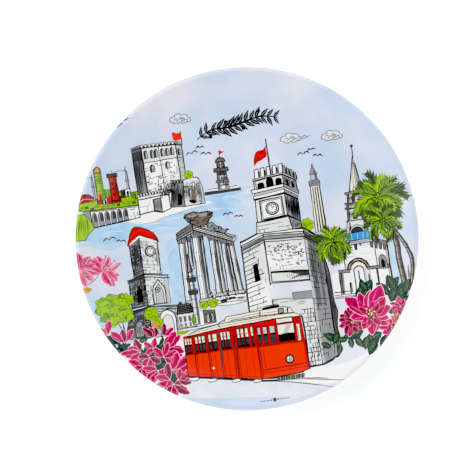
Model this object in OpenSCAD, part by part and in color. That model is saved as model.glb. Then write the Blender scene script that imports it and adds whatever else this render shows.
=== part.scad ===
// Souvenir wall plate: a porcelain coupe plate with a white glaze and a printed picture.
// It lies face up on its foot ring. +Z is up through the picture, +Y is the picture's top,
// and the origin is the centre of the plane that the foot ring rests on. Millimetres.

/* [Plate] */
// Diameter over the finished lip
plate_d = 200; // [160:1:250]
// Height from the resting plane to the top of the finished lip
plate_h = 20; // [16:0.5:30]
// Thickness of the fired porcelain
wall_t = 3.2; // [2.4:0.1:5]
// Diameter of the flat middle of the face
well_d = 124; // [100:1:140]
// How far the lip's rounded bead stands proud of each side of the wall
lip_bead = 0.15; // [0.1:0.05:0.5]

/* [Foot ring] */
// Diameter over the foot ring's porcelain
foot_d = 112; // [80:1:130]
// Width of the foot ring's wall
foot_w = 5; // [4:0.5:8]
// Height of the foot ring below the plate's underside
foot_h = 6; // [5.5:0.5:8]
// Radius of the foot ring's two bottom edges
foot_edge_r = 0.9; // [0.4:0.1:1.5]
// Radius of the fillets where the foot ring meets the underside
foot_root_r = 1.4; // [0.8:0.1:2]
// Height of bare porcelain wiped clean of glaze above the resting plane
foot_bare = 1.1; // [0.5:0.1:1.5]

/* [Hanging holes] */
// Diameter of each hole for the hanging cord
hole_d = 3; // [2:0.1:3.6]
// Distance between the middles of the two holes
hole_pitch = 24; // [12:1:40]
// Height of the holes' middles above the resting plane
hole_z = 2.9; // [2.4:0.1:3.2]

/* [Glaze and picture] */
// Thickness of the white glaze
glaze_t = 0.3; // [0.2:0.05:0.5]
// Thickness of the printed picture fired onto the glaze
picture_t = 0.2; // [0.2:0.05:0.4]

/* [Hidden] */
$fn = 180;

half_t = wall_t / 2;
picture_o = half_t + glaze_t + picture_t;  // the picture's outside, from the wall's middle line
lip_r = picture_o + lip_bead;              // the finished lip's round
well_r = well_d / 2;

// The wall's middle line: flat across the well, then one arc tangent to it, up to the lip.
middle_z = foot_h + half_t;
lip_x = plate_d / 2 - lip_r;
lip_z = plate_h - lip_r;
run = lip_x - well_r;
rise = lip_z - middle_z;
slope_r = (run * run + rise * rise) / (2 * rise);
slope_a = asin(run / slope_r);  // the wall's tilt where it meets the lip
far = 2 * slope_r;              // past everything that the arc's wedge has to cover

// The hanging holes' places round the foot ring
foot_mid_r = (foot_d - foot_w) / 2;
hole_a = asin(hole_pitch / 2 / foot_mid_r);
hole_len = 2 * foot_w;

// A strip of the wall's section between two distances from its middle line, plus on the face side.
module strip(low, high) {
    translate([0, middle_z + low]) square([well_r, high - low]);
    translate([well_r, middle_z + slope_r])
        intersection() {
            difference() {
                circle(r = slope_r - low);
                circle(r = slope_r - high);
            }
            polygon([[0, 0], [0, -far], [far * sin(slope_a), -far * cos(slope_a)]]);
        }
}

// The wall's whole section, with a coat on both sides, ending in the lip's bead.
module wall(coat = 0) {
    strip(-half_t - coat, half_t + coat);
    translate([lip_x, lip_z]) circle(r = half_t + coat + lip_bead);
}

// How far the bare underside has risen at a distance from the plate's axis.
function risen(r) =
    r <= well_r ? 0 : slope_r + half_t - sqrt(pow(slope_r + half_t, 2) - pow(r - well_r, 2));

// The foot ring's section, with a coat on both sides, and a fillet at each root.
module foot(coat = 0) {
    half_w = foot_w / 2 + coat;
    edge_r = foot_edge_r + coat;
    root_r = foot_root_r - coat;
    translate([foot_mid_r, 0])
        for (side = [0, 1])
            mirror([side, 0]) {
                root_x = foot_mid_r + (1 - 2 * side) * (half_w + root_r);
                root_z = foot_h - foot_root_r + risen(root_x);
                translate([0, foot_edge_r]) square([half_w, middle_z - foot_edge_r]);
                translate([0, -coat]) square([half_w - edge_r, middle_z]);
                translate([half_w - edge_r, foot_edge_r]) circle(r = edge_r);
                difference() {
                    translate([half_w, root_z]) square([root_r, middle_z - root_z]);
                    translate([half_w + root_r, root_z]) circle(r = root_r);
                }
            }
}

module body_section() {
    wall();
    foot();
}

module glaze_section() {
    difference() {
        union() {
            wall(glaze_t);
            intersection() {
                foot(glaze_t);
                translate([0, foot_bare]) square([plate_d, plate_h]);
            }
        }
        body_section();
    }
}

// The picture covers the face and rolls over the lip to its outermost edge.
module picture_section() {
    difference() {
        union() {
            strip(0, picture_o);
            intersection() {
                wall(glaze_t + picture_t);
                translate([0, lip_z]) square([plate_d, plate_h]);
            }
        }
        wall(glaze_t);
    }
}

// Two holes through the foot ring, either side of the picture's top, for a hanging cord.
module hanging_holes() {
    for (side = [-1, 1])
        rotate(-side * hole_a)
            translate([0, foot_mid_r, hole_z])
                rotate([90, 0, 0]) cylinder(d = hole_d, h = hole_len, center = true, $fn = 48);
}

module porcelain_body() {
    color("white")
        difference() {
            rotate_extrude() body_section();
            hanging_holes();
        }
}

module white_glaze() {
    color("whitesmoke")
        difference() {
            rotate_extrude() glaze_section();
            hanging_holes();
        }
}

module picture_transfer() {
    color("lightsteelblue") rotate_extrude() picture_section();
}

porcelain_body();
white_glaze();
picture_transfer();
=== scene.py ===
import math
import random
from contextlib import contextmanager

import bmesh
import bpy
from bpy.props import FloatProperty, FloatVectorProperty, IntProperty, PointerProperty
from mathutils import Matrix, Vector
from mathutils.bvhtree import BVHTree
from mathutils.geometry import delaunay_2d_cdt


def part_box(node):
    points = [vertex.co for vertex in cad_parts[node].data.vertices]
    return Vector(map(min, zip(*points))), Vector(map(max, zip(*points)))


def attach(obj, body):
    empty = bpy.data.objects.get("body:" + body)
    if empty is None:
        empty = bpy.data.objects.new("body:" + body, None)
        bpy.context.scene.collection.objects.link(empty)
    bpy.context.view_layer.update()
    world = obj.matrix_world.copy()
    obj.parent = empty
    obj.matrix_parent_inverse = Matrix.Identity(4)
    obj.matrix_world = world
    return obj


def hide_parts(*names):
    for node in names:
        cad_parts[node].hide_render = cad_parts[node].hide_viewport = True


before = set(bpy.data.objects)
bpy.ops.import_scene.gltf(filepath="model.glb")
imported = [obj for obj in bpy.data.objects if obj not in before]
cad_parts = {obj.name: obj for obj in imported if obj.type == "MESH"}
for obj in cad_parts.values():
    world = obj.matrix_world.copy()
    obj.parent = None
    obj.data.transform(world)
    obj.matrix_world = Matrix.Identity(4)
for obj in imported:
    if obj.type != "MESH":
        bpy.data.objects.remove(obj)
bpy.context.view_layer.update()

bl_info = {
    "name": "Souvenir plate",
    "version": (1, 0, 0),
    "blender": (4, 5, 0),
    "location": "View3D > Sidebar > Souvenir plate",
    "description": "Makes a glazed porcelain wall plate with a pen and wash picture printed over its face",
    "category": "Add Mesh",
}

PICTURE_LOW, PICTURE_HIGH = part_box("picture_transfer")
MM = 0.001
LIP_ROWS = 11  # rows of corners round the lip's underside
MERGE = 1e-5  # corners of the picture closer than this, in millimetres, are one

# The inks, in the order of the palette: a name to show and the colour as the eye sees it.
INKS = {
    "sky": ("Sky wash", (0.765, 0.860, 0.950)),
    "mist": ("Pale ground wash", (0.875, 0.893, 0.930)),
    "paper": ("Bare white", (0.968, 0.968, 0.965)),
    "stone": ("Light stone", (0.905, 0.908, 0.905)),
    "silver": ("Silver stone", (0.780, 0.790, 0.800)),
    "grey": ("Grey stone", (0.600, 0.606, 0.615)),
    "shade": ("Shaded stone", (0.420, 0.425, 0.435)),
    "soot": ("Darkest stone", (0.205, 0.200, 0.215)),
    "black": ("Pen line", (0.035, 0.030, 0.040)),
    "cream": ("Cream", (0.955, 0.935, 0.860)),
    "sea": ("Sea wash", (0.640, 0.815, 0.945)),
    "shallows": ("Shallow water wash", (0.730, 0.845, 0.940)),
    "blue": ("Bright blue", (0.250, 0.610, 0.835)),
    "orange": ("Tram orange", (0.975, 0.235, 0.030)),
    "red": ("Roof and flag red", (0.885, 0.105, 0.050)),
    "brick": ("Dark red", (0.620, 0.060, 0.050)),
    "ochre": ("Ochre", (0.870, 0.610, 0.200)),
    "brown": ("Bark brown", (0.470, 0.400, 0.350)),
    "lime": ("Lime green", (0.635, 0.805, 0.030)),
    "leaf": ("Leaf green", (0.470, 0.640, 0.170)),
    "olive": ("Olive shade", (0.250, 0.350, 0.110)),
    "teal": ("Deep leaf green", (0.050, 0.215, 0.205)),
    "magenta": ("Magenta", (0.900, 0.030, 0.440)),
    "crimson": ("Crimson", (0.700, 0.020, 0.290)),
    "plum": ("Petal shade", (0.370, 0.015, 0.165)),
    "rose": ("Blossom rose", (0.930, 0.380, 0.560)),
    "pink": ("Petal pink", (0.960, 0.560, 0.690)),
}


# ---------------------------------------------------------------- settings


class PlateSizes(bpy.types.PropertyGroup):
    """The plate's section, which the overall size of the design is not enough to tell."""

    well: FloatProperty(
        name="Well", description="Radius of the flat middle of the face", default=0.062, unit="LENGTH"
    )
    wall: FloatProperty(
        name="Wall", description="Thickness of the fired porcelain", default=0.0032, unit="LENGTH"
    )
    glaze: FloatProperty(
        name="Glaze", description="Thickness of the white glaze", default=0.0003, unit="LENGTH"
    )
    print_coat: FloatProperty(
        name="Print", description="Thickness of the printed picture", default=0.0002, unit="LENGTH"
    )
    bead: FloatProperty(
        name="Lip bead", description="How far the lip stands proud of the wall", default=0.00015,
        unit="LENGTH"
    )
    foot_outer: FloatProperty(
        name="Foot ring", description="Outer radius of the foot ring", default=0.056, unit="LENGTH"
    )
    foot_width: FloatProperty(
        name="Foot width", description="Width of the foot ring's wall", default=0.005, unit="LENGTH"
    )
    foot_edge: FloatProperty(
        name="Foot edge", description="Radius of the foot ring's bottom edges", default=0.0009, unit="LENGTH"
    )
    foot_root: FloatProperty(
        name="Foot root", description="Radius of the foot ring's fillets", default=0.0014, unit="LENGTH"
    )
    foot_bare: FloatProperty(
        name="Bare foot", description="Height left free of glaze", default=0.0011, unit="LENGTH"
    )
    hole: FloatProperty(
        name="Hanging hole", description="Radius of each hole for the cord", default=0.0015, unit="LENGTH"
    )
    hole_apart: FloatProperty(
        name="Hole distance", description="Distance between the two holes", default=0.024, unit="LENGTH"
    )
    hole_up: FloatProperty(
        name="Hole height", description="Height of the holes' middles", default=0.0029, unit="LENGTH"
    )
    turns: IntProperty(
        name="Segments", description="Segments round the plate", default=256, min=64, max=512
    )


class PlateFinish(bpy.types.PropertyGroup):
    """The colours and gloss that a user would change."""

    glaze_white: FloatVectorProperty(
        name="Glaze", description="Colour of the glazed white", default=(0.955, 0.955, 0.945),
        subtype="COLOR_GAMMA", min=0, max=1,
    )
    bisque: FloatVectorProperty(
        name="Bare porcelain", description="Colour of the unglazed foot", default=(0.90, 0.88, 0.84),
        subtype="COLOR_GAMMA", min=0, max=1,
    )
    gloss: FloatProperty(
        name="Gloss", description="Roughness of the fired glaze", default=0.09, min=0, max=1,
        subtype="FACTOR",
    )
    print_gloss: FloatProperty(
        name="Print gloss", description="Roughness of the printed colours", default=0.13, min=0, max=1,
        subtype="FACTOR",
    )
    tilt: FloatProperty(
        name="Tilt", description="Turn of the plate in the view", default=math.radians(8),
        subtype="ANGLE",
    )


def ink_property(key):
    """One colour of the palette as a setting."""
    title, colour = INKS[key]
    return FloatVectorProperty(
        name=title, description=f"Colour of the ink {key}", default=colour,
        subtype="COLOR_GAMMA", min=0, max=1,
    )


class PlateInks(bpy.types.PropertyGroup):
    """The colour of every ink of the printed picture."""

    __annotations__ = {key: ink_property(key) for key in INKS}


def linear(colour):
    """A colour as the eye sees it, in the renderer's linear values with an alpha."""
    parts = [c / 12.92 if c <= 0.04045 else ((c + 0.055) / 1.055) ** 2.4 for c in colour]
    return (*parts, 1.0)


# ---------------------------------------------------------------- the plate's section


def blend(t):
    """A smooth step from 0 to 1."""
    t = min(max(t, 0.0), 1.0)
    return t * t * (3 - 2 * t)


class Section:
    """The plate's section in metres: a flat well, one rising arc and a rounded lip."""

    def __init__(self, sizes):
        self.sizes = sizes
        self.half = sizes.wall / 2
        self.finished = self.half + sizes.glaze + sizes.print_coat
        self.lip = self.finished + sizes.bead
        self.outer = PICTURE_HIGH[0]
        self.foot_top = PICTURE_LOW[2] - sizes.glaze - sizes.wall
        self.middle = self.foot_top + self.half
        self.lip_x = self.outer - self.lip
        self.lip_z = PICTURE_HIGH[2] - self.lip
        run = self.lip_x - sizes.well
        rise = self.lip_z - self.middle
        self.arc = (run * run + rise * rise) / (2 * rise)
        self.slope = math.asin(run / self.arc)

    def rising(self, side, coat, steps):
        """Points and normals of the arc, outwards, on the face (side 1) or underneath (-1).
        The coat swells into the lip's bead over the arc's last quarter."""
        out = []
        for i in range(steps + 1):
            a = self.slope * i / steps
            swell = self.sizes.bead * blend((a / self.slope - 0.75) * 4)
            radius = self.arc - side * (coat + swell)
            point = (self.sizes.well + radius * math.sin(a), self.middle + self.arc - radius * math.cos(a))
            out.append((point, (-side * math.sin(a), side * math.cos(a))))
        return out

    def round(self, coat, start, end, steps):
        """Points and normals round the lip, by the angle from straight up towards the outside."""
        out = []
        radius = coat + self.sizes.bead
        for i in range(steps + 1):
            a = start + (end - start) * i / steps
            normal = (math.sin(a), math.cos(a))
            out.append(((self.lip_x + radius * normal[0], self.lip_z + radius * normal[1]), normal))
        return out

    def over_top(self, coat, steps=24, turns=16):
        """The face from the well's edge out to the lip's outermost point."""
        return self.rising(1, coat, steps) + self.round(coat, -self.slope, math.pi / 2, turns)[1:]

    def under(self, coat, steps=24, turns=LIP_ROWS - 1):
        """The underside from the lip's outermost point in to the well's edge."""
        lip = self.round(coat, math.pi / 2, math.pi - self.slope, turns)
        return lip + list(reversed(self.rising(-1, coat, steps)))[1:]

    def foot_side(self, side, coat, low):
        """One side of the foot ring from its root down to a height; side 1 is the outer one."""
        s = self.sizes
        centre = s.foot_outer - s.foot_width / 2
        reach = s.foot_width / 2 + coat
        root = s.foot_root - coat
        root_z = self.foot_top - s.foot_root
        out = []
        for i in range(7):
            a = math.pi / 2 * i / 6
            x = reach + root - root * math.sin(a)
            out.append((centre + side * x, root_z + root * math.cos(a)))
        edge = s.foot_edge + coat
        for i in range(13):
            a = math.pi / 2 * i / 12
            z = s.foot_edge - edge * math.sin(a)
            if z >= low:
                out.append((centre + side * (reach - edge + edge * math.cos(a)), z))
        if low > s.foot_edge:
            out.append((centre + side * reach, low))
        elif low > 0:
            a = math.asin((s.foot_edge - low) / edge)
            out.append((centre + side * (reach - edge + edge * math.cos(a)), low))
        return out


def points_of(stretch):
    """The points of a stretch, without their normals."""
    return [point for point, _ in stretch]


def revolve(name, outline, turns):
    """A closed solid of revolution from the outline of one side of its section."""
    mesh = bmesh.new()
    verts = [mesh.verts.new((x, 0, z)) for x, z in outline]
    edges = [mesh.edges.new(pair) for pair in zip(verts, verts[1:])]
    if outline[0][0] > 1e-6:
        edges.append(mesh.edges.new((verts[-1], verts[0])))
    bmesh.ops.spin(
        mesh, geom=verts + edges, cent=(0, 0, 0), axis=(0, 0, 1), angle=2 * math.pi,
        steps=turns, use_merge=True,
    )
    bmesh.ops.remove_doubles(mesh, verts=mesh.verts, dist=1e-7)
    bmesh.ops.dissolve_degenerate(mesh, edges=mesh.edges, dist=1e-8)
    bmesh.ops.recalc_face_normals(mesh, faces=mesh.faces)
    data = bpy.data.meshes.new(name)
    mesh.to_mesh(data)
    mesh.free()
    piece = bpy.data.objects.new(name, data)
    bpy.context.scene.collection.objects.link(piece)
    return piece


def pierce(piece, sizes):
    """Cuts the two hanging holes through the foot ring, and shades the piece smooth."""
    centre = sizes.foot_outer - sizes.foot_width / 2
    turn = math.asin(sizes.hole_apart / 2 / centre)
    mesh = bmesh.new()
    for side in (-1, 1):
        place = (
            Matrix.Rotation(-side * turn, 4, "Z")
            @ Matrix.Translation((0, centre, sizes.hole_up))
            @ Matrix.Rotation(math.pi / 2, 4, "X")
        )
        bmesh.ops.create_cone(
            mesh, cap_ends=True, segments=32, radius1=sizes.hole, radius2=sizes.hole,
            depth=sizes.foot_width * 2, matrix=place,
        )
    data = bpy.data.meshes.new("drill")
    mesh.to_mesh(data)
    mesh.free()
    drill = bpy.data.objects.new("drill", data)
    bpy.context.scene.collection.objects.link(drill)
    cut = piece.modifiers.new("Hanging holes", "BOOLEAN")
    cut.operation = "DIFFERENCE"
    cut.solver = "EXACT"
    cut.object = drill
    bpy.context.view_layer.update()
    cut_mesh = bpy.data.meshes.new_from_object(piece.evaluated_get(bpy.context.evaluated_depsgraph_get()))
    piece.modifiers.clear()
    piece.data = cut_mesh
    cut_mesh.name = piece.name
    bpy.data.objects.remove(drill)
    cut_mesh.polygons.foreach_set("use_smooth", [True] * len(cut_mesh.polygons))
    cut_mesh.set_sharp_from_angle(angle=math.radians(40))


# ---------------------------------------------------------------- drawing kit, in millimetres


def mix(a, b, t):
    """The point a share t of the way from a to b."""
    return (a[0] + (b[0] - a[0]) * t, a[1] + (b[1] - a[1]) * t)


def arc(cx, cy, rx, ry, start, end, steps):
    """Points along an ellipse, between two angles in degrees."""
    out = []
    for i in range(steps + 1):
        a = math.radians(start + (end - start) * i / steps)
        out.append((cx + rx * math.cos(a), cy + ry * math.sin(a)))
    return out


def smooth(points, steps=5):
    """A soft curve through the points."""
    out = []
    ends = [points[0], *points, points[-1]]
    for p0, p1, p2, p3 in zip(ends, ends[1:], ends[2:], ends[3:]):
        for i in range(steps):
            t = i / steps
            out.append(tuple(
                0.5 * (2 * b + (c - a) * t + (2 * a - 5 * b + 4 * c - d) * t * t
                       + (3 * b - a - 3 * c + d) * t ** 3)
                for a, b, c, d in zip(p0, p1, p2, p3)
            ))
    return out + [points[-1]]


def box(x0, x1, y0, y1):
    """The corners of an upright rectangle."""
    return [(x0, y0), (x1, y0), (x1, y1), (x0, y1)]


def area(points):
    """An outline's area, negative where it runs clockwise."""
    return sum(a[0] * b[1] - b[0] * a[1] for a, b in zip(points, points[1:] + points[:1])) / 2


def wall(low_left, low_right, high_right, high_left):
    """Maps (across, up), each from 0 to 1, onto a slanted four-cornered wall."""
    return lambda u, v: mix(mix(low_left, low_right, u), mix(high_left, high_right, u), v)


class Picture:
    """A drawing: patches of ink in the order that they are printed."""

    def __init__(self, seed):
        self.patches = []
        self.hand = random.Random(seed)
        self.place = Matrix.Identity(3)

    @contextmanager
    def at(self, x, y, scale=1.0, turn=0.0, flip=False):
        """Draws what follows at another place, size and turn."""
        before = self.place
        moved = Matrix(((1, 0, x), (0, 1, y), (0, 0, 1)))
        sized = Matrix.Diagonal((-scale if flip else scale, scale, 1))
        self.place = before @ moved @ Matrix.Rotation(math.radians(turn), 3, "Z") @ sized
        yield
        self.place = before

    def spot(self, point):
        """Where a point of a motif lies in the whole drawing."""
        return tuple((self.place @ Vector((point[0], point[1], 1)))[:2])

    def add(self, ink, outline):
        """Keeps a patch, turned anticlockwise, unless it is only a sliver."""
        size = area(outline)
        round_it = sum(math.dist(a, b) for a, b in zip(outline, outline[1:] + outline[:1]))
        if abs(size) > 0.01 * round_it:
            self.patches.append((ink, outline if size > 0 else outline[::-1]))

    def fill(self, ink, points):
        """A patch of one ink."""
        self.add(ink, [self.spot(p) for p in points])

    def line(self, points, width=0.5, ink="black", closed=False, wobble=0.08, taper=False):
        """A pen line, with a hand's small changes of place and width."""
        corners = [self.spot(p) for p in points]
        if closed:
            corners.append(corners[0])
        route = [corners[0]]
        for a, b in zip(corners, corners[1:]):
            parts = max(1, round(math.dist(a, b) / 4))
            route += [
                tuple(c + self.hand.gauss(0, wobble) for c in mix(a, b, i / parts))
                for i in range(1, parts + 1)
            ]
        if closed:
            route[-1] = route[0]
        last = len(route) - 1
        ways = [(b[0] - a[0], b[1] - a[1]) for a, b in zip(route, route[1:])]
        ways = [(x / max(math.hypot(x, y), 1e-6), y / max(math.hypot(x, y), 1e-6)) for x, y in ways]
        sides = []
        for i, point in enumerate(route):
            before = ways[i - 1] if i or closed else ways[0]
            after = ways[i] if i < last else (ways[0] if closed else ways[-1])
            x, y = before[0] + after[0], before[1] + after[1]
            size = math.hypot(x, y)
            half = width / 2 * self.hand.uniform(0.8, 1.2)
            if taper:
                half *= 0.25 + 0.75 * math.sin(math.pi * (i + 0.3) / (last + 0.6))
            if size < 0.9:
                x, y, size = after[0], after[1], 1.0
            reach = half / max(size / 2, 0.6)
            normal = (-y / size * reach, x / size * reach)
            sides.append((normal, point))
        if closed:
            sides[-1] = sides[0]
        for (n0, p0), (n1, p1) in zip(sides, sides[1:]):
            low0, high0 = (p0[0] - n0[0], p0[1] - n0[1]), (p0[0] + n0[0], p0[1] + n0[1])
            low1, high1 = (p1[0] - n1[0], p1[1] - n1[1]), (p1[0] + n1[0], p1[1] + n1[1])
            if area([low0, low1, high1]) > 0 and area([low0, high1, high0]) > 0:
                self.add(ink, [low0, low1, high1, high0])

    def shape(self, ink, points, width=0.6, pen="black", wobble=0.08):
        """A filled patch with its pen outline."""
        self.fill(ink, points)
        self.line(points, width, pen, closed=True, wobble=wobble)

    def dot(self, x, y, radius, ink="black", steps=10):
        """A round patch."""
        self.fill(ink, arc(x, y, radius, radius, 0, 360 - 360 / steps, steps - 1))

    def ring(self, x, y, radius, width=0.42, ink="black"):
        """A pen circle."""
        self.line(arc(x, y, radius, radius, 0, 345, 23), width, ink, closed=True, wobble=0.04)

    # Parts of buildings, on a wall's own (across, up)

    def panel(self, on, ink, u0=0, u1=1, v0=0, v1=1, width=0.6, pen="black"):
        """A four-cornered patch of a wall, with its outline unless width is 0."""
        corners = [on(u0, v0), on(u1, v0), on(u1, v1), on(u0, v1)]
        self.fill(ink, corners)
        if width:
            self.line(corners, width, pen, closed=True)

    def arch(self, on, ink, u0, u1, v0, v1, width=0.38, pointed=False, lean=0.0, pen="black"):
        """An arched opening; lean lifts its right side's inner face into the light."""
        spring = v0 + (v1 - v0) * (0.55 if pointed else 0.62)
        middle = (u0 + u1) / 2
        top = []
        for i in range(9):
            a = math.pi * i / 8
            rise = math.sin(a) if not pointed else min(i, 8 - i) / 4
            bulge = 1.0 if not pointed else 1 - 0.25 * (min(i, 8 - i) / 4) ** 2
            top.append((middle + (u1 - u0) / 2 * math.cos(a) * bulge, spring + (v1 - spring) * rise))
        outline = [on(u0, v0), on(u1, v0)] + [on(u, v) for u, v in top]
        self.fill(ink, outline)
        if lean:
            slip = (u1 - u0) * lean
            inner = [on(u1 - slip, v0), on(u1, v0)] + [on(u, v) for u, v in top[:4]]
            self.fill("silver", inner + [on(u1 - slip, spring)])
        if width:
            self.line(outline, width, pen, closed=True)

    def courses(self, on, rows, blocks, u0=0, u1=1, v0=0, v1=1, width=0.36, ink="black", keep=0.6):
        """Broken pen lines for courses of stone and their upright joints."""
        for row in range(1, rows + 1):
            v = v0 + (v1 - v0) * row / (rows + 1)
            gap = (v1 - v0) / (rows + 1)
            for block in range(blocks):
                a = u0 + (u1 - u0) * (block + self.hand.uniform(-0.1, 0.1)) / blocks
                b = a + (u1 - u0) / blocks * self.hand.uniform(0.6, 1.1)
                if self.hand.random() < keep:
                    self.line([on(max(a, u0), v), on(min(b, u1), v)], width, ink)
                if self.hand.random() < keep * 0.7:
                    joint = min(a + (u1 - u0) / blocks * self.hand.uniform(0.1, 0.9), u1)
                    self.line([on(joint, v), on(joint, v - gap)], width, ink)

    def hatch(self, on, count, u0=0, u1=1, v0=0, v1=1, lean=0.0, width=0.38, ink="black"):
        """Nearly upright strokes of uneven length, for shade."""
        for i in range(count):
            u = u0 + (u1 - u0) * (i + self.hand.uniform(0.2, 0.8)) / count
            low = v0 + (v1 - v0) * self.hand.uniform(0, 0.3)
            high = v1 - (v1 - v0) * self.hand.uniform(0, 0.3)
            self.line([on(u, low), on(min(max(u + lean, 0), 1), high)], width, ink, taper=True)

    def scribble(self, points, count, reach, width=0.38, ink="black"):
        """Short curled pen marks scattered inside an outline."""
        xs = [p[0] for p in points]
        ys = [p[1] for p in points]
        placed = 0
        for _ in range(count * 6):
            x, y = self.hand.uniform(min(xs), max(xs)), self.hand.uniform(min(ys), max(ys))
            if placed < count and inside((x, y), points):
                placed += 1
                a = self.hand.uniform(0, 360)
                sweep = self.hand.uniform(90, 220)
                r = reach * self.hand.uniform(0.5, 1)
                self.line(arc(x, y, r, r * 0.8, a, a + sweep, 4), width, ink, wobble=0.02)

    def teeth(self, on, count, v0, v1, ink="paper", gap="soot", share=0.58, width=0.34):
        """Battlements along a wall's top edge."""
        if gap:
            self.panel(on, gap, 0, 1, v0, v0 + (v1 - v0) * 0.6, width=0)
        for i in range(count):
            a = i / count
            self.panel(on, ink, a, a + share / count, v0, v1, width=width)


def inside(point, outline):
    """Whether a point lies inside an outline."""
    x, y = point
    odd = False
    for (x0, y0), (x1, y1) in zip(outline, outline[1:] + outline[:1]):
        if (y0 > y) != (y1 > y) and x < (x1 - x0) * (y - y0) / (y1 - y0) + x0:
            odd = not odd
    return odd


# ---------------------------------------------------------------- the picture, from back to front


def cloud(p, x, y, wide, tail=False):
    """A cloud drawn with a row of bumps and a few curls."""
    with p.at(x, y, wide / 12):
        edge = []
        for cx, cy, rx, ry, start, end in (
            (-4, 0, 2.4, 1.8, 200, 60), (-1.2, 1.6, 2.2, 1.7, 160, 30), (2.4, 0.9, 2.0, 1.6, 120, -10),
            (4.4, -0.8, 1.6, 1.2, 60, -100), (1.6, -1.5, 1.9, 0.9, -10, -160),
            (-2.4, -1.5, 1.9, 0.9, -20, -180),
        ):
            edge += arc(cx, cy, rx, ry, start, end, 6)
        p.shape("mist", edge, 0.32, wobble=0.05)
        p.line(
            arc(0.8, -0.2, 1.5, 1.2, 200, -110, 9) + arc(0.8, -0.1, 0.7, 0.5, -60, 160, 5), 0.3,
            wobble=0.03,
        )
        p.line(arc(-2.8, -0.3, 1.2, 0.9, 150, -80, 6), 0.3, wobble=0.03)
        p.line(arc(3.4, -0.9, 0.9, 0.7, 190, -60, 6), 0.28, wobble=0.03)
        if tail:
            p.line(smooth([(5.6, -0.8), (8, 0.4), (10, -0.2), (12, 0.3)]), 0.34, taper=True)
            p.line(smooth([(5.4, -1.4), (8, -0.9), (10, -0.6)]), 0.3, taper=True)


def gulls(p, birds):
    """Gulls in flight, each two bent wing strokes."""
    for x, y, span, turn in birds:
        with p.at(x, y, span / 6, turn):
            for flip in (False, True):
                with p.at(0, 0, flip=flip):
                    p.line(smooth([(0, 0), (1.1, 1.1), (2.2, 0.9), (3.2, -0.1)], 3), 0.72, taper=True)


def flourish(p):
    """A bold olive branch where such plates carry a title."""
    stem = smooth([(-21, 62), (-12, 66.4), (-2, 66.6), (8, 68.6), (18, 70.4), (28, 68.4)], 6)
    p.line(stem, 1.3, taper=True, wobble=0.04)
    last = len(stem) - 1
    for i in range(2, last, 2):
        x, y = stem[i]
        ahead = math.degrees(math.atan2(stem[i + 1][1] - y, stem[i + 1][0] - x))
        for side in (-1, 1):
            size = 7.4 * (0.72 + 0.34 * math.sin(math.pi * i / last)) * p.hand.uniform(0.85, 1.1)
            with p.at(x, y, turn=ahead + side * p.hand.uniform(38, 56)):
                blade = smooth([(0, 0), (size * 0.4, size * 0.17), (size, 0)], 4)
                p.fill("black", blade + [(a, -b) for a, b in blade[-2:0:-1]])
                p.line([(size * 0.2, 0.04), (size * 0.75, 0.02)], 0.3, "silver", taper=True, wobble=0.02)
    for i, side in ((5, -1), (11, 1), (17, -1), (23, 1)):
        x, y = stem[i]
        p.line([(x, y), (x + 0.6, y + side * 2.4)], 0.4)
        p.dot(x + 0.8, y + side * 3.4, 1.1, steps=12)


def sky_and_ground(p):
    """Washes behind everything: the sky, the pale ground, the sea and its foam, and a silver ring round the
    lip that is painted shade on the plate's edge.
    """
    # The silver ring left showing between the sky's edge and the rim is painted shade, where the lip turns
    # away from the light.
    p.fill("silver", arc(0, 0, 101, 101, 0, 355, 71))
    p.fill("sky", arc(0.25, -0.3, 99.8, 99.8, 0, 358, 179))
    p.fill("mist", [
        (-100, -58), (-60, -48), (-20, -36), (0, -30), (46, -34), (70, -44), (100, -44), (100, -100),
        (-100, -100),
    ])
    p.fill("sky", smooth([
        (-75, -80), (-40, -88), (0, -93), (40, -95), (70, -88), (60, -110), (-60, -110), (-90, -90),
    ], 4))
    p.fill("paper", smooth([
        (26, -79), (44, -80), (62, -74), (76, -62), (84, -66), (66, -82), (44, -90), (24, -88), (18, -84),
    ], 4))
    shore = [
        (-99, 13), (-86, 19), (-60, 22), (-30, 26), (-14, 31.5), (-2, 31.6), (6, 30), (1, 27.4), (7, 24.6),
        (-1, 22), (3, 18), (-8, 15), (-5, 10.6), (-18, 10.4), (-34, 8), (-47, 9.6), (-58, 5.4), (-68, 7.4),
        (-79, 4), (-92, 8), (-99, 9),
    ]
    p.fill("shallows", smooth(shore, 4))
    deep = [
        (-95, 13), (-86, 18.5), (-64, 19.5), (-30, 25), (-4, 30), (2, 28.6), (-5, 25.6), (0, 22.4),
        (-9, 19.6), (-6, 15.6), (-24, 14.8), (-40, 12.4), (-48, 13.6), (-58, 9.6), (-74, 10), (-80, 8),
        (-90, 10.6),
    ]
    p.fill("sea", smooth(deep, 4))
    p.fill("paper", smooth([
        (-63, 21.5), (-50, 24), (-36, 26), (-21, 25.5), (-18, 23.5), (-30, 22.2), (-41, 20.4), (-48, 18.3),
        (-55, 16.8), (-63, 17.6), (-68, 19.6),
    ], 4))
    for y, x0, x1 in (
        (17.2, -46, -34), (15.6, -60, -47), (14, -84, -72), (25.4, -12, -3), (19.2, -24, -10),
        (12.4, -56, -44),
    ):
        p.line(smooth([(x0, y), ((x0 + x1) / 2, y + 0.9), (x1, y + 0.4)]), 0.4, "paper", taper=True)
    p.line(
        smooth([(-66, 19), (-58, 17.2), (-52, 17.6), (-47, 19.2), (-38, 20.6), (-28, 22.4), (-19, 23.4)]),
        0.3, "shade", taper=True,
    )
    p.fill("shallows", smooth([(-50, 0), (-45, 6), (-41, 2), (-41, -33), (-50, -32), (-52, -16)], 4))
    p.fill("sea", smooth([(-47.6, -4), (-42, 0), (-41, -28), (-47.4, -26)], 4))
    p.fill("shallows", smooth([(-98, -18), (-93, -20), (-86, -40), (-78, -43), (-84, -50), (-92, -38)], 4))
    p.fill("shallows", [(80.5, -16), (86.5, -12), (86.5, -40), (80.5, -41)])


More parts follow.
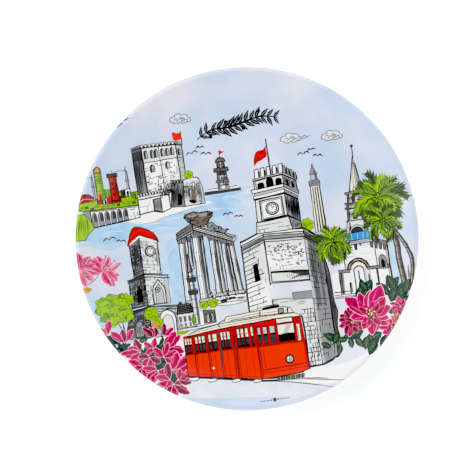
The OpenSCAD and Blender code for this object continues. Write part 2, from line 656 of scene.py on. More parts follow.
def rough(p, cx, cy, rx, ry, lobes, depth=0.16):
    """A leafy outline: an oval whose edge bulges in small uneven lobes."""
    out = []
    for i in range(lobes * 4):
        a = 2 * math.pi * i / (lobes * 4)
        swell = 1 + depth * abs(math.sin(a * lobes / 2)) - depth * p.hand.uniform(0.3, 0.9)
        out.append((cx + rx * swell * math.cos(a), cy + ry * swell * math.sin(a)))
    return out


def bush(p, cx, cy, rx, ry, ink="lime", dark="olive", lobes=9):
    """A round bush with curled leaf marks."""
    edge = rough(p, cx, cy, rx, ry, lobes)
    p.fill(ink, edge)
    lit = [mix((cx, cy), q, 0.72) for q in edge]
    p.scribble(lit, round(rx * ry * 0.7) + 3, min(rx, ry) * 0.22, 0.34, dark)
    p.line(edge, 0.24, dark, closed=True)


def west_town(p):
    """The small town on the left: towers, roofs and an arcaded quay."""
    p.shape("brick", [(-95, 32), (-93.4, 37), (-91, 38.6), (-87.5, 38.2), (-84.6, 35.6), (-84, 32)], 0.3)
    p.line(smooth([(-94, 34), (-90, 36), (-85, 34.6)]), 0.5, "pink")
    p.line(smooth([(-94.4, 33), (-89, 34), (-84, 33)]), 0.4, "orange")
    for x, low, high, wide in ((-84.6, 35, 46.5, 1.2), (-65, 34, 49, 1.5)):
        body = wall((x - wide / 2, low), (x + wide / 2, low), (x + wide / 2.6, high), (x - wide / 2.6, high))
        p.panel(body, "silver", width=0.26)
        p.panel(body, "shade", 0.55, 1, 0, 1, width=0)
        p.panel(body, "grey", -0.35, 1.35, 0.62, 0.68, width=0.2)
        p.shape("grey", [(x - wide / 2.2, high), (x + wide / 2.2, high), (x, high + 3.2)], 0.24)
    p.line([(-88, 48.2), (-84.6, 47.6), (-83.8, 47.9)], 0.24)
    p.line([(-72.6, 49.4), (-69, 50), (-65, 49.6)], 0.24)
    low_town = [
        (-96, 30), (-93, 33.5), (-84, 34.5), (-79, 40), (-74, 39.6), (-68, 37), (-62, 36.4), (-59.6, 36),
        (-59.6, 30.4), (-62, 28.2), (-75, 28.6), (-93, 29),
    ]
    p.shape("lime", low_town, 0.3)
    p.scribble(low_town, 44, 0.9, 0.4, "olive")
    for x in range(-93, -60, 3):
        p.fill(p.hand.choice(("leaf", "olive")), rough(p, x, 29.6 + p.hand.uniform(0, 1.6), 1.2, 0.9, 4, 0.4))
    p.fill("leaf", [(-79, 40), (-75, 40), (-75, 35), (-79, 35)])
    for x, y, w, h, ink in (
        (-83.6, 32, 3, 3.4, "red"), (-80.4, 31.6, 2.4, 3.8, "paper"), (-78, 31.6, 2.6, 3.4, "red"),
        (-75, 31.8, 5, 3.4, "brick"), (-69.6, 34, 2.6, 4.6, "soot"), (-67.2, 34.4, 3, 4.4, "paper"),
        (-63.6, 33, 2.2, 3.6, "leaf"), (-61.4, 32.6, 2, 4, "lime"),
    ):
        on = wall((x, y), (x + w, y), (x + w, y + h), (x, y + h))
        p.panel(on, ink, width=0.4)
        p.hatch(on, 3, 0.3, 0.9, 0.1, 0.8, width=0.34)
        if ink == "paper":
            p.arch(on, "black", 0.3, 0.65, 0, 0.75, width=0)
    for x, y, w in ((-83.8, 35.4, 3.4), (-78.2, 35, 3)):
        p.shape("orange", [(x, y), (x + w, y), (x + w / 2, y + 1.6)], 0.24)
    tower = wall((-83.2, 34), (-78.9, 34), (-79.2, 50), (-82.9, 50))
    p.panel(tower, "lime")
    p.panel(tower, "leaf", 0.62, 1, 0, 1, width=0)
    p.panel(tower, "ochre", 0, 0.5, 0.02, 0.3, width=0)
    for v in (0.22, 0.34, 0.62, 0.75, 0.88):
        p.line([tower(0, v), tower(1, v)], 0.26, "olive")
    p.shape("ochre", [(-82.9, 50), (-79.2, 50), *arc(-81.05, 51, 1.85, 2.4, 0, 180, 8)])
    p.ring(-81, 45.8, 1, 0.34)
    p.arch(tower, "red", 0.25, 0.6, 0.03, 0.2, 0.2)
    keep = wall((-75.2, 33), (-71, 33), (-71, 47.4), (-75.4, 47.4))
    p.panel(keep, "red")
    p.panel(keep, "brick", 0.66, 1, 0, 1, width=0)
    p.hatch(keep, 6, 0.55, 1, 0.1, 0.95, 0, 0.24)
    p.panel(wall((-76, 46.8), (-70.4, 46.8), (-70.6, 48.6), (-75.8, 48.6)), "soot")
    p.line([(-73, 48.6), (-73, 50.4)], 0.4)
    for v in (0.2, 0.42, 0.64):
        p.arch(keep, "black", 0.28, 0.5, v, v + 0.12, width=0)
    quay = wall((-88.4, 18.6), (-60.6, 21.2), (-60.6, 28.4), (-88.4, 28.8))
    p.panel(quay, "paper")
    p.panel(quay, "grey", -0.13, 0.0, 0.55, 1, width=0.3)
    for i in range(6):
        a = 0.02 + i * 0.128
        p.arch(quay, "grey", a, a + 0.098, 0.04, 0.86, 0.32)
        p.arch(quay, "soot", a + 0.03, a + 0.092, 0.3, 0.8, 0)
    p.line([quay(0, 0.93), quay(1, 0.9)], 0.32)
    p.courses(quay, 3, 3, 0.8, 1, width=0.3)
    p.hatch(quay, 16, 0, 0.8, 0.86, 1, width=0.34)
    p.shape("lime", [
        (-101, 12.6), (-93, 12.2), (-91.6, 15), (-87.4, 18.4), (-89, 23), (-92, 27.4), (-97, 26.6),
        (-101, 18),
    ], 0.34)
    p.hatch(wall((-99, 13), (-90, 16), (-91, 26), (-97, 26)), 9, lean=0.1, ink="olive")


def castle(p):
    """The battlemented keep above the harbour wall."""
    left = wall((-60, 32.4), (-54, 32), (-54.4, 61.4), (-60, 60.2))
    front = wall((-54, 32), (-33.6, 37), (-34, 61), (-54.4, 61.4))
    right = wall((-33.6, 37), (-30.4, 38.6), (-30.6, 60), (-34, 61))
    p.teeth(wall((-60, 60.2), (-54.4, 61.4), (-54.4, 63), (-60, 61.8)), 4, 0, 1, "grey", "soot")
    p.teeth(wall((-54.4, 61.4), (-34, 61), (-34, 62.9), (-54.4, 63.2)), 9, 0, 1, "paper", "soot")
    p.teeth(wall((-34, 61), (-30.6, 60), (-30.6, 61.8), (-34, 62.9)), 2, 0, 1, "silver", "shade")
    p.panel(left, "shade", width=0.5)
    p.panel(left, "grey", 0.5, 0.9, 0.02, 0.72, width=0)
    p.hatch(left, 12, 0, 1, 0, 1, 0.04, 0.36)
    p.panel(left, "soot", 0.1, 0.9, 0.78, 0.95, width=0.3)
    p.panel(front, "stone", width=0.7)
    p.panel(right, "silver", width=0.6)
    p.panel(front, "paper", 0.05, 0.48, 0.08, 0.7, width=0)
    p.panel(front, "paper", 0.58, 0.95, 0.25, 0.68, width=0)
    p.line([front(0, 0.7), front(1, 0.68), right(1, 0.66)], 0.42)
    p.line([front(0.5, 0.05), front(0.5, 0.98)], 0.36)
    for a in (0.06, 0.24, 0.36, 0.54, 0.68, 0.82):
        p.arch(front, "soot", a, a + 0.1, 0.77, 0.94, 0.34, lean=0.5)
    p.arch(right, "soot", 0.2, 0.7, 0.74, 0.9, 0.3, lean=0.4)
    for a in (0.17, 0.62):
        p.arch(front, "soot", a, a + 0.13, 0.48, 0.63, 0.34, lean=0.62)
    p.courses(front, 11, 7, 0.02, 0.98, 0.02, 0.7, 0.3, keep=0.42)
    p.scribble([(-53, 33), (-40, 36), (-40, 44), (-53, 44)], 22, 0.8, 0.36)
    p.courses(right, 8, 1, 0, 1, 0, 0.9, 0.22, keep=0.4)
    low = wall((-60.4, 29), (-42, 30), (-42, 34.4), (-60.4, 33))
    p.panel(low, "paper", width=0.4)
    p.teeth(wall((-60.4, 33), (-43, 34), (-43, 35.8), (-60.4, 34.8)), 10, 0, 1, "paper", "soot")
    p.teeth(wall((-46, 33.5), (-37.6, 38.4), (-37.6, 40.4), (-46, 35.6)), 5, 0, 1, "silver", "soot")
    p.hatch(wall((-48, 31), (-38, 34), (-38, 38), (-48, 34)), 14, width=0.4)
    p.shape("paper", [(-60.6, 22.8), (-60.6, 31.6), (-42, 32.4), (-42, 24.2), (-47, 22.2), (-52, 23.8)])
    p.shape("grey", [(-51.6, 24.2), (-47, 22.4), (-47, 31), (-51.6, 30.4)], 0.55)
    p.hatch(wall((-51.6, 24.4), (-47, 22.8), (-47, 30.8), (-51.6, 30.2)), 8, width=0.32)
    p.courses(wall((-60.4, 23), (-52, 24), (-52, 31), (-60.4, 31)), 3, 3, width=0.2, keep=0.3)
    gate = wall((-41.4, 24.6), (-33.4, 24), (-32.6, 38), (-39.6, 38.6))
    p.panel(gate, "grey", width=0.5)
    p.panel(gate, "shade", 0.1, 0.62, 0, 0.95, width=0)
    p.arch(gate, "black", 0.5, 0.78, 0.08, 0.55, 0.34)
    p.hatch(gate, 16, 0, 1, 0, 1, 0.03, 0.4)
    p.teeth(wall((-39.8, 38.4), (-32.6, 37.8), (-32.6, 39.8), (-39.8, 40.4)), 4, 0, 1, "grey", "soot")
    cliff = [(-33.4, 24), (-21.2, 24.2), (-21.8, 29), (-21.6, 33), (-23.6, 39.8), (-28, 40.6), (-32.6, 39.4)]
    p.shape("stone", cliff, 0.46)
    p.fill("silver", [(-26, 25), (-21.6, 25), (-22, 33), (-24, 39), (-26, 36)])
    p.line([(-32.6, 35.4), (-23, 34.8)], 0.34)
    p.hatch(wall((-33, 25), (-22, 25), (-23.6, 39), (-32, 39)), 14, lean=0.02, width=0.44)
    p.scribble([(-33, 25), (-22, 25), (-23.6, 38), (-32, 38)], 18, 1.2, 0.44)
    p.scribble([(-48, 31), (-40, 33), (-38, 38), (-46, 34)], 16, 1.2, 0.5)
    p.fill("brown", [(-29.6, 25), (-26.4, 25.6), (-26.2, 34), (-28.6, 33)])
    p.fill("black", [(-31, 27.4), (-28.2, 24.8), (-26, 25.6), (-27.4, 27.2)])
    bush(p, -28.8, 42.2, 2.6, 2.3, lobes=6)
    p.line([(-30.2, 60), (-30, 68)], 0.5)
    p.shape("orange", smooth([
        (-30, 67.4), (-32.4, 67.2), (-34.8, 67.9), (-34.8, 63.9), (-32.4, 63.3), (-30, 63.7),
    ], 3), 0.22, "red")


def lighthouse(p):
    """The small harbour light at the end of its mole."""
    p.fill("paper", [(-20, 30.4), (-17.6, 32), (-1.2, 32.2), (-0.4, 30.4)])
    p.line([(-18.8, 31.9), (-1, 31.9)], 0.34)
    p.fill("soot", [(-21.4, 28.6), (0.6, 28.9), (0.6, 30.3), (-21, 30.3)])
    p.line([(-21, 30.3), (0.6, 30.4)], 0.4)
    shaft = wall((-12.6, 31), (-5.9, 31), (-6.8, 41.4), (-12.2, 41.4))
    p.panel(shaft, "stone", width=0.42)
    p.panel(shaft, "grey", 0.62, 1, 0, 1, width=0)
    for v in (0.22, 0.42, 0.62, 0.82):
        p.line([shaft(0, v), shaft(1, v)], 0.5)
    p.panel(shaft, "shade", 0, 0.2, 0, 1, width=0)
    p.panel(wall((-13.8, 41.4), (-5.2, 41.4), (-5.2, 43.6), (-13.8, 43.6)), "shade", width=0.42)
    p.hatch(wall((-13.8, 41.4), (-5.2, 41.4), (-5.2, 43.6), (-13.8, 43.6)), 9, width=0.44)
    p.panel(wall((-13.4, 35), (-5.6, 35), (-5.8, 36.4), (-13.2, 36.4)), "grey", width=0.4)
    p.panel(wall((-13, 38.6), (-6, 38.6), (-6, 41.2), (-12.8, 41.2)), "soot", 0.2, 0.95, 0.2, 1, width=0)
    p.hatch(shaft, 9, 0, 1, 0, 1, width=0.44)
    lamp = wall((-11.6, 43.6), (-7, 43.6), (-7.2, 47.4), (-11.4, 47.4))
    p.panel(lamp, "cream", width=0.5)
    p.arch(lamp, "brown", 0.08, 0.42, 0.1, 0.9, 0.34)
    p.arch(lamp, "brown", 0.58, 0.92, 0.1, 0.9, 0.34)
    p.shape("shade", arc(-9.3, 47.2, 2.8, 2.4, 0, 180, 8), 0.6)
    p.line([(-9.3, 49), (-9.3, 54)], 0.32)
    p.fill("red", [(-9.2, 53.8), (-6.2, 52.8), (-9.2, 51.4)])


def roofed_tower(p):
    """The stone bell tower with the red roof."""
    dark_low = wall((-76, -49), (-63, -50), (-63, -31.5), (-75.6, -33.4))
    light_low = wall((-63, -50), (-46.8, -50), (-46.2, -33), (-63, -31.5))
    dark_mid = wall((-72.6, -31.5), (-63, -31), (-63, -12.4), (-72.4, -15.4))
    light_mid = wall((-63, -31), (-49.8, -31), (-49.4, -15), (-63, -12.4))
    dark_top = wall((-69, -14), (-63, -12), (-63, 9.4), (-69.4, 6))
    light_top = wall((-63, -12), (-53, -13.4), (-52.6, 6.6), (-63, 9.4))
    for on, ink in (
        (dark_low, "shade"), (light_low, "silver"), (dark_mid, "shade"), (light_mid, "stone"),
        (dark_top, "shade"), (light_top, "stone"),
    ):
        p.panel(on, ink, width=0.5)
    for on, count in ((dark_low, 20), (dark_mid, 16), (dark_top, 13)):
        p.hatch(on, count, 0, 1, 0, 1, 0.05, 0.4)
        p.courses(on, 12, 4, width=0.4, ink="grey", keep=0.5)
        p.courses(on, 8, 4, width=0.36, keep=0.6)
    for on in (light_low, light_mid, light_top):
        p.courses(on, 10, 5, width=0.3, keep=0.5)
        p.courses(on, 7, 4, width=0.4, ink="grey", keep=0.4)
        p.hatch(on, 5, 0.8, 1, 0, 1, 0, 0.3, "shade")
    p.panel(light_mid, "silver", 0.86, 1, 0, 1, width=0)
    p.arch(dark_top, "soot", 0.3, 0.72, 0.5, 0.76, 0.34)
    p.arch(dark_mid, "black", 0.42, 0.72, 0.16, 0.64, 0.4)
    p.arch(dark_low, "grey", 0.3, 0.66, 0.06, 0.6, 0.4)
    p.hatch(dark_low, 6, 0.34, 0.62, 0.08, 0.5, 0, 0.34)
    p.arch(light_mid, "stone", 0.28, 0.84, 0.02, 0.84, 0.6, pointed=True)
    p.arch(light_mid, "silver", 0.38, 0.74, 0.02, 0.7, 0.34, pointed=True)
    p.ring(-56.4, -22.4, 1.5, 0.5)
    p.dot(-56.4, -22.4, 0.7, "soot")
    p.arch(light_low, "paper", 0.34, 0.92, 0.0, 0.86, 0.55)
    p.arch(light_low, "stone", 0.44, 0.82, 0.0, 0.7, 0.34)
    for y, x0, x1 in ((-31.6, -76, -46), (-12.6, -73.4, -48.4)):
        for drop in (0, 1.5):
            p.line([(x0, y - 2.4 - drop), (-63, y - drop * 0.8), (x1, y - 2.2 - drop)], 0.5)
        p.fill("soot", [(x0, y - 2.6), (-63, y - 0.2), (-63, y - 1.2), (x0 + 1, y - 3.8)])
    p.dot(-57.6, 0.6, 3.3, "soot", 20)
    p.dot(-57.4, 0.6, 2.5, "stone", 18)
    p.ring(-57.4, 0.6, 1.9, 0.4)
    p.dot(-57.6, 0.6, 1.3, "paper", 12)
    p.line([(-57.6, 0.6), (-57, 1.6)], 0.34)
    p.fill("paper", [(-69, 6.6), (-62.8, 11), (-53, 7.2), (-53, 6), (-62.8, 9.4), (-69, 5.4)])
    p.shape("red", smooth([
        (-70.2, 5.4), (-69, 9.6), (-67, 14), (-64.6, 15.9), (-60, 14.8), (-55, 11.8), (-52.8, 8.6),
        (-51.8, 5.4), (-54, 7), (-58.6, 9), (-62.8, 10.8), (-66, 8.8),
    ], 4), 0.45)
    p.line(smooth([(-67.6, 9), (-65, 13), (-60, 13.2), (-55, 10)]), 0.4, "orange", taper=True)
    p.line([(-62.8, 10.6), (-64.4, 15)], 0.34, "brick")


def lime_tree(p):
    """The round tree beside the bell tower."""
    for a, b in (((-77.6, -49), (-79, -38)), ((-77.6, -47), (-75.6, -39)), ((-78.4, -44), (-82, -38))):
        p.line([a, b], 0.7, "soot", taper=True)
    crown = rough(p, -82.6, -30, 9.8, 8.6, 9, 0.2)
    p.fill("lime", crown)
    for dx, dy, r in ((-4, -3, 3.6), (3, -4, 3.4), (5, 3, 3), (-3, 4, 2.6)):
        p.fill("leaf", rough(p, -82.6 + dx, -31 + dy, r, r * 0.7, 5, 0.4))
    for cx, cy, r in ((-75.6, -26, 4.6), (-76.6, -34.6, 4.6), (-88.6, -26, 4.2), (-84, -37, 4)):
        lobe = rough(p, cx, cy, r, r * 0.85, 6, 0.2)
        p.fill("lime", lobe)
        p.line(lobe[:len(lobe) // 2], 0.22, "olive")
    p.scribble(crown, 60, 0.9, 0.34, "olive")
    p.scribble(crown, 26, 1.2, 0.5, "leaf")
    p.line(crown, 0.3, "olive", closed=True)


def column(p, top, foot, wide, high, low):
    """A fluted column: lit on the left, shaded on the right, with a worn capital."""
    on = wall(
        (foot - wide / 2, low), (foot + wide / 2, low), (top + wide / 2.3, high), (top - wide / 2.3, high),
    )
    p.panel(on, "paper", width=0.62)
    p.panel(on, "silver", 0.6, 0.8, 0, 1, width=0)
    p.panel(on, "shade", 0.8, 1, 0, 1, width=0)
    p.line([on(0.28, 0.02), on(0.3, 0.96)], 0.24, "grey")
    p.line([on(0.6, 0.02), on(0.6, 0.97)], 0.26, "shade")
    p.hatch(on, 3, 0.6, 0.95, 0, 1, width=0.4, ink="soot")
    for low_mark in (0.12, 0.4, 0.7):
        mark = low_mark + p.hand.uniform(-0.06, 0.06)
        p.line([on(0.1, mark), on(0.5, mark + 0.01)], 0.3, "shade", taper=True)
    cap = wall(
        (top - wide * 0.5, high - 1), (top + wide * 0.5, high - 1), (top + wide * 0.72, high + 2),
        (top - wide * 0.72, high + 2),
    )
    p.panel(cap, "grey", width=0.38)
    p.hatch(cap, 6, width=0.4)
    base = wall(
        (foot - wide * 0.7, low - 1.4), (foot + wide * 0.7, low - 1.4), (foot + wide * 0.56, low + 0.6),
        (foot - wide * 0.56, low + 0.6),
    )
    p.panel(base, "silver", width=0.36)


def temple(p):
    """The ruined temple front with its broken gable."""
    p.fill("shallows", [(-27.4, 4), (-22.6, 2), (-22.6, -27), (-27.4, -29)])
    p.fill("shallows", smooth([(-36.4, 3), (-32, 5), (-32, -10), (-36.2, -8)], 3))
    steps = [(-29, -30.6), (-5, -29.4), (-5, -36.4), (-16, -37.4), (-28, -36)]
    p.shape("paper", steps, 0.3)
    for x, y, ink in (
        (-26, -31, "soot"), (-21, -29.4, "grey"), (-16.4, -30.8, "soot"), (-11, -29.6, "grey"),
        (-7, -31, "soot"), (-23.6, -33.6, "grey"), (-13.4, -33.4, "soot"), (-8.4, -34, "grey"),
        (-18.6, -34.6, "soot"),
    ):
        p.fill(ink, rough(p, x, y, 2.2, 0.8, 4, 0.3))
    p.scribble([(-28, -28), (-16, -26), (-5, -28), (-5, -33), (-20, -34), (-28, -33)], 34, 1.3, 0.5)
    for y in (-31.4, -33.4, -35.2):
        p.line([(-25, y - 0.6), (-14, y), (-5.4, y - 0.4)], 0.42)
    for top, foot, wide, high, low in (
        (-34, -34.4, 2.2, 4, -12), (-26.4, -26.6, 1.6, 4.4, -30), (-18, -17.4, 2, 1.4, -30),
        (-11.6, -10.4, 1.8, -1.4, -30), (-38.4, -38.8, 4, 3.6, -32), (-29.8, -29.6, 4.8, 6, -32),
        (-20.6, -20.4, 3.6, 3, -30), (-14.2, -13.2, 3.3, 0.2, -30), (-9.6, -7.6, 3.1, -1.6, -30),
    ):
        column(p, top, foot, wide, high, low)
    side = wall((-40.8, 4.4), (-30.4, 8), (-31, 13.8), (-41, 8.6))
    p.panel(side, "grey", width=0.5)
    p.hatch(side, 16, width=0.36)
    for v in (0.3, 0.6, 0.82):
        p.line([side(0, v), side(1, v)], 0.42)
    front = wall((-30.4, 7.6), (-9.6, -1.6), (-6.4, 2.6), (-31, 13.8))
    p.panel(front, "stone", width=0.5)
    p.panel(front, "grey", 0, 1, 0, 0.3, width=0)
    p.panel(front, "soot", 0, 1, 0.3, 0.38, width=0)
    for v in (0.28, 0.5, 0.66, 0.84):
        p.line([front(0, v), front(1, v)], 0.5)
    p.hatch(front, 30, 0, 1, 0.02, 0.3, width=0.46)
    p.hatch(front, 34, 0, 1, 0.66, 0.84, width=0.4)
    gable = [
        (-35.2, 17.8), (-32.8, 19.4), (-29, 20.2), (-26, 19.2), (-21, 19.4), (-18, 18.4), (-18.6, 16),
        (-20.6, 14.2), (-21.6, 11.6), (-27, 10.6), (-30.6, 13), (-33, 14.4),
    ]
    p.shape("brown", gable, 0.5)
    p.fill("grey", [(-33.6, 17.6), (-30, 19.2), (-26, 18.4), (-20, 18.6), (-22, 16.6), (-30, 17)])
    p.scribble(gable, 34, 1.1, 0.44)
    rubble = [
        (-22.4, 12), (-19, 12.6), (-16.6, 10), (-14.6, 9.4), (-12.6, 7), (-10.4, 7.2), (-11.6, 5),
        (-16, 6.4), (-22, 9.6),
    ]
    p.shape("grey", rubble, 0.36)
    p.scribble(rubble, 18, 0.9, 0.44)
    p.shape("silver", [(-8.6, 1.4), (-6.2, 2.8), (-6.4, 0.4), (-8.8, -0.8)], 0.4)


def old_quarter(p):
    """The slim minaret, tiled houses and gateway in front of the temple."""
    p.fill("paper", [(-47, -38.4), (-33.4, -38.6), (-24, -39), (-23.4, -47), (-34, -48.6), (-47, -49)])
    roof = wall((-47, -38.4), (-37, -38), (-38.4, -33.4), (-45.6, -33))
    p.panel(roof, "shade", width=0.6)
    for v in (0.2, 0.4, 0.6, 0.8):
        p.line([roof(0, v), roof(1, v)], 0.5)
    p.hatch(roof, 12, width=0.4)
    p.fill("soot", [(-46.4, -33.2), (-44, -31), (-42.6, -33), (-40, -32.2), (-39, -33.6)])
    house = wall((-46.6, -47), (-36.4, -46.8), (-36.6, -38.6), (-46.8, -38.8))
    p.panel(house, "stone", width=0.34)
    for u in (0.08, 0.34, 0.62, 0.84):
        p.panel(house, "shade", u, u + 0.1, 0.45, 0.8, width=0.26)
        p.panel(house, "grey", u, u + 0.1, 0.08, 0.3, width=0.24)
    p.courses(house, 4, 5, width=0.2, keep=0.3)
    gate = wall((-31.6, -46), (-24.4, -45.6), (-24.6, -38.6), (-31.6, -38.4))
    p.panel(gate, "shade", width=0.4)
    p.panel(gate, "brown", 0.1, 0.9, 0.7, 1, width=0)
    p.arch(gate, "silver", 0.22, 0.46, 0, 0.75, 0.32)
    p.arch(gate, "silver", 0.6, 0.84, 0, 0.75, 0.32)
    p.hatch(gate, 10, width=0.34)
    for y in (-46.6, -48):
        p.line([(-47, y - 1), (-36, y - 0.6), (-24, y + 0.4)], 0.46, "soot")
    shaft = wall((-37.4, -46), (-34, -46), (-34.6, -15), (-37, -15))
    p.panel(shaft, "stone", width=0.38)
    p.panel(shaft, "shade", 0.6, 1, 0, 1, width=0)
    p.shape("grey", [(-37.4, -14.6), (-34.2, -14.6), (-35.9, -4)], 0.38)
    p.fill("soot", [(-35.6, -14.6), (-34.2, -14.6), (-35.9, -4)])
    for y in (-19, -26.6):
        p.shape("soot", [(-38.2, y - 1.6), (-33.4, y - 1.6), (-32.8, y + 0.9), (-38.8, y + 0.9)], 0.34)
        p.line([(-38.4, y + 1.6), (-33.2, y + 1.6)], 0.34)
    for y in (-23, -31, -36, -40):
        p.line([(-37.2, y), (-34.2, y)], 0.3)
    bush(p, -30.6, -35.2, 2.5, 2.2, lobes=6)
    bush(p, -25, -34.8, 3.1, 2.6, lobes=7)
    bush(p, -37.6, -43, 1.3, 2.6, "leaf", lobes=5)
    p.fill("lime", smooth([(-55, -49), (-50, -48), (-44, -48.6), (-41, -49.4), (-46, -51), (-54, -51.4)], 3))
    p.hatch(wall((-54, -51), (-42, -50.6), (-42, -48.8), (-54, -48.6)), 12, width=0.3, ink="olive")


def clock_face(p, x, y, radius):
    """A plain dial with hour marks and two hands."""
    p.dot(x, y, radius, "silver", 26)
    p.ring(x, y, radius, 0.6)
    p.dot(x, y, radius * 0.72, "paper", 22)
    p.ring(x, y, radius * 0.72, 0.4)
    for hour in range(12):
        a = math.radians(30 * hour)
        rim = [(x + radius * k * math.cos(a), y + radius * k * math.sin(a)) for k in (0.56, 0.68)]
        p.line(rim, 0.26, wobble=0.01)
    p.line([(x, y), (x + radius * 0.32, y + radius * 0.34)], 0.4, wobble=0.02)
    p.line([(x, y), (x - radius * 0.1, y + radius * 0.52)], 0.3, wobble=0.02)


def clock_tower(p):
    """The great six-sided tower that carries the clock."""
    bush(p, 36.4, 3, 3.6, 4, lobes=7)
    edge = smooth([
        (42.6, -8), (44.4, -20), (45.4, -27), (46, -44), (47, -50), (45.6, -58), (46.2, -66), (44.4, -74.6),
        (42, -76),
    ], 3)
    p.shape("brown", edge, 0.6)
    p.hatch(wall((43, -72), (46.4, -66), (45.8, -24), (43, -10)), 9, width=0.44, ink="soot")
    left = wall((-4.6, -58), (10, -58), (10, 3.2), (-4, -1.6))
    front = wall((10, -79.6), (34, -79), (33.6, 1.6), (10, 3.2))
    right = wall((34, -79), (43.8, -75), (43, -5.6), (33.6, 1.6))
    p.panel(left, "stone", width=0.8)
    p.panel(front, "stone", width=0.6)
    p.panel(right, "grey", width=0.7)
    p.panel(right, "silver", 0, 0.14, 0, 0.96, width=0)
    for a, b in ((0.2, 0.5), (0.62, 0.8)):
        p.panel(right, "shade", a, b, 0.42, 0.9, width=0)
    p.hatch(right, 12, 0.1, 1, 0.55, 0.98, 0.02, 0.34, "soot")
    p.courses(right, 20, 2, 0, 1, 0.02, 0.9, 0.32, keep=0.75)
    p.fill("paper", [(10.4, -8), (33, -9), (33, -20), (10.4, -20)])
    p.fill("paper", [(-3.6, -26), (9, -26), (9, -46), (-4.2, -46)])
    for i in range(16):
        v = 0.18 + i * 0.046
        p.line([left(0.02, v), left(p.hand.uniform(0.5, 0.98), v + 0.012)], p.hand.uniform(0.3, 0.5))
        a = p.hand.uniform(0.15, 0.85)
        p.line([left(a, v), left(a, v + 0.046)], 0.32)
    p.courses(front, 8, 6, 0.02, 0.98, 0.72, 0.92, 0.28, keep=0.4)
    p.scribble([(12, -6), (32, -7), (32, -13), (12, -12)], 26, 0.9, 0.5)
    p.scribble([(12, -8), (32, -8), (32, -19.5), (12, -19)], 26, 0.9, 0.4)
    p.courses(front, 13, 5, 0.66, 1, 0.0, 0.44, 0.42, keep=0.85)
    p.courses(front, 5, 5, 0, 0.98, 0.44, 0.52, 0.26, keep=0.5)
    for lift, width in ((0, 1.0), (-2.1, 0.7), (-3.3, 0.55), (-5.2, 0.8), (-6.6, 0.5)):
        p.line([(-4.4, -1.8 + lift), (10, 3.3 + lift), (33.8, 1.8 + lift), (43.4, -5.2 + lift)], width)
    p.fill("paper", [(-4, -2.4), (10, 2.6), (10, 1.4), (-4, -3.6)])
    p.fill("paper", [(10, 2.6), (33.6, 1.1), (33.6, 0.1), (10, 1.4)])
    p.fill("shade", [(-4, -5.4), (10, -0.2), (10, -1.7), (-4, -6.8)])
    p.fill("grey", [(10, -0.2), (33.8, -1.6), (33.8, -3), (10, -1.7)])
    p.fill("soot", [(33.8, -1.6), (43.2, -8.6), (43.2, -10.4), (33.8, -3)])
    p.shape("black", [(1.6, -26), (4.3, -25.4), (4.2, -15.2), (1.5, -16)], 0.4)
    p.shape("stone", [(11.2, -27.4), (33.4, -29), (33.4, -24), (11.2, -21.8)], 0.55)
    p.fill("soot", [(20, -22.6), (33.4, -24), (33.4, -26.4), (28, -26), (21, -27.4), (28, -25)])
    p.line([(11.2, -21.6), (20, -22), (33.6, -23.6)], 1.0)
    p.hatch(wall((20, -27), (33, -28), (33, -25), (20, -23.4)), 10, width=0.4)
    p.fill("mist", [(9.6, -29), (33.8, -30), (33.8, -38.6), (9.6, -37.6)])
    p.fill("grey", [(22, -35.2), (33.8, -35.6), (33.8, -39.8), (22, -39)])
    p.line([(9.6, -28), (33.8, -29.4)], 0.44)
    p.line([(9.6, -37.9), (22, -38.2), (22, -35.2), (33.8, -35.4)], 0.36)
    p.line([(22, -39.2), (33.8, -40)], 0.36)
    p.line(smooth([(26, -79.6), (33, -79.2), (39, -77.4), (44, -74.4)]), 1.1, taper=True)
    upper_tower(p)


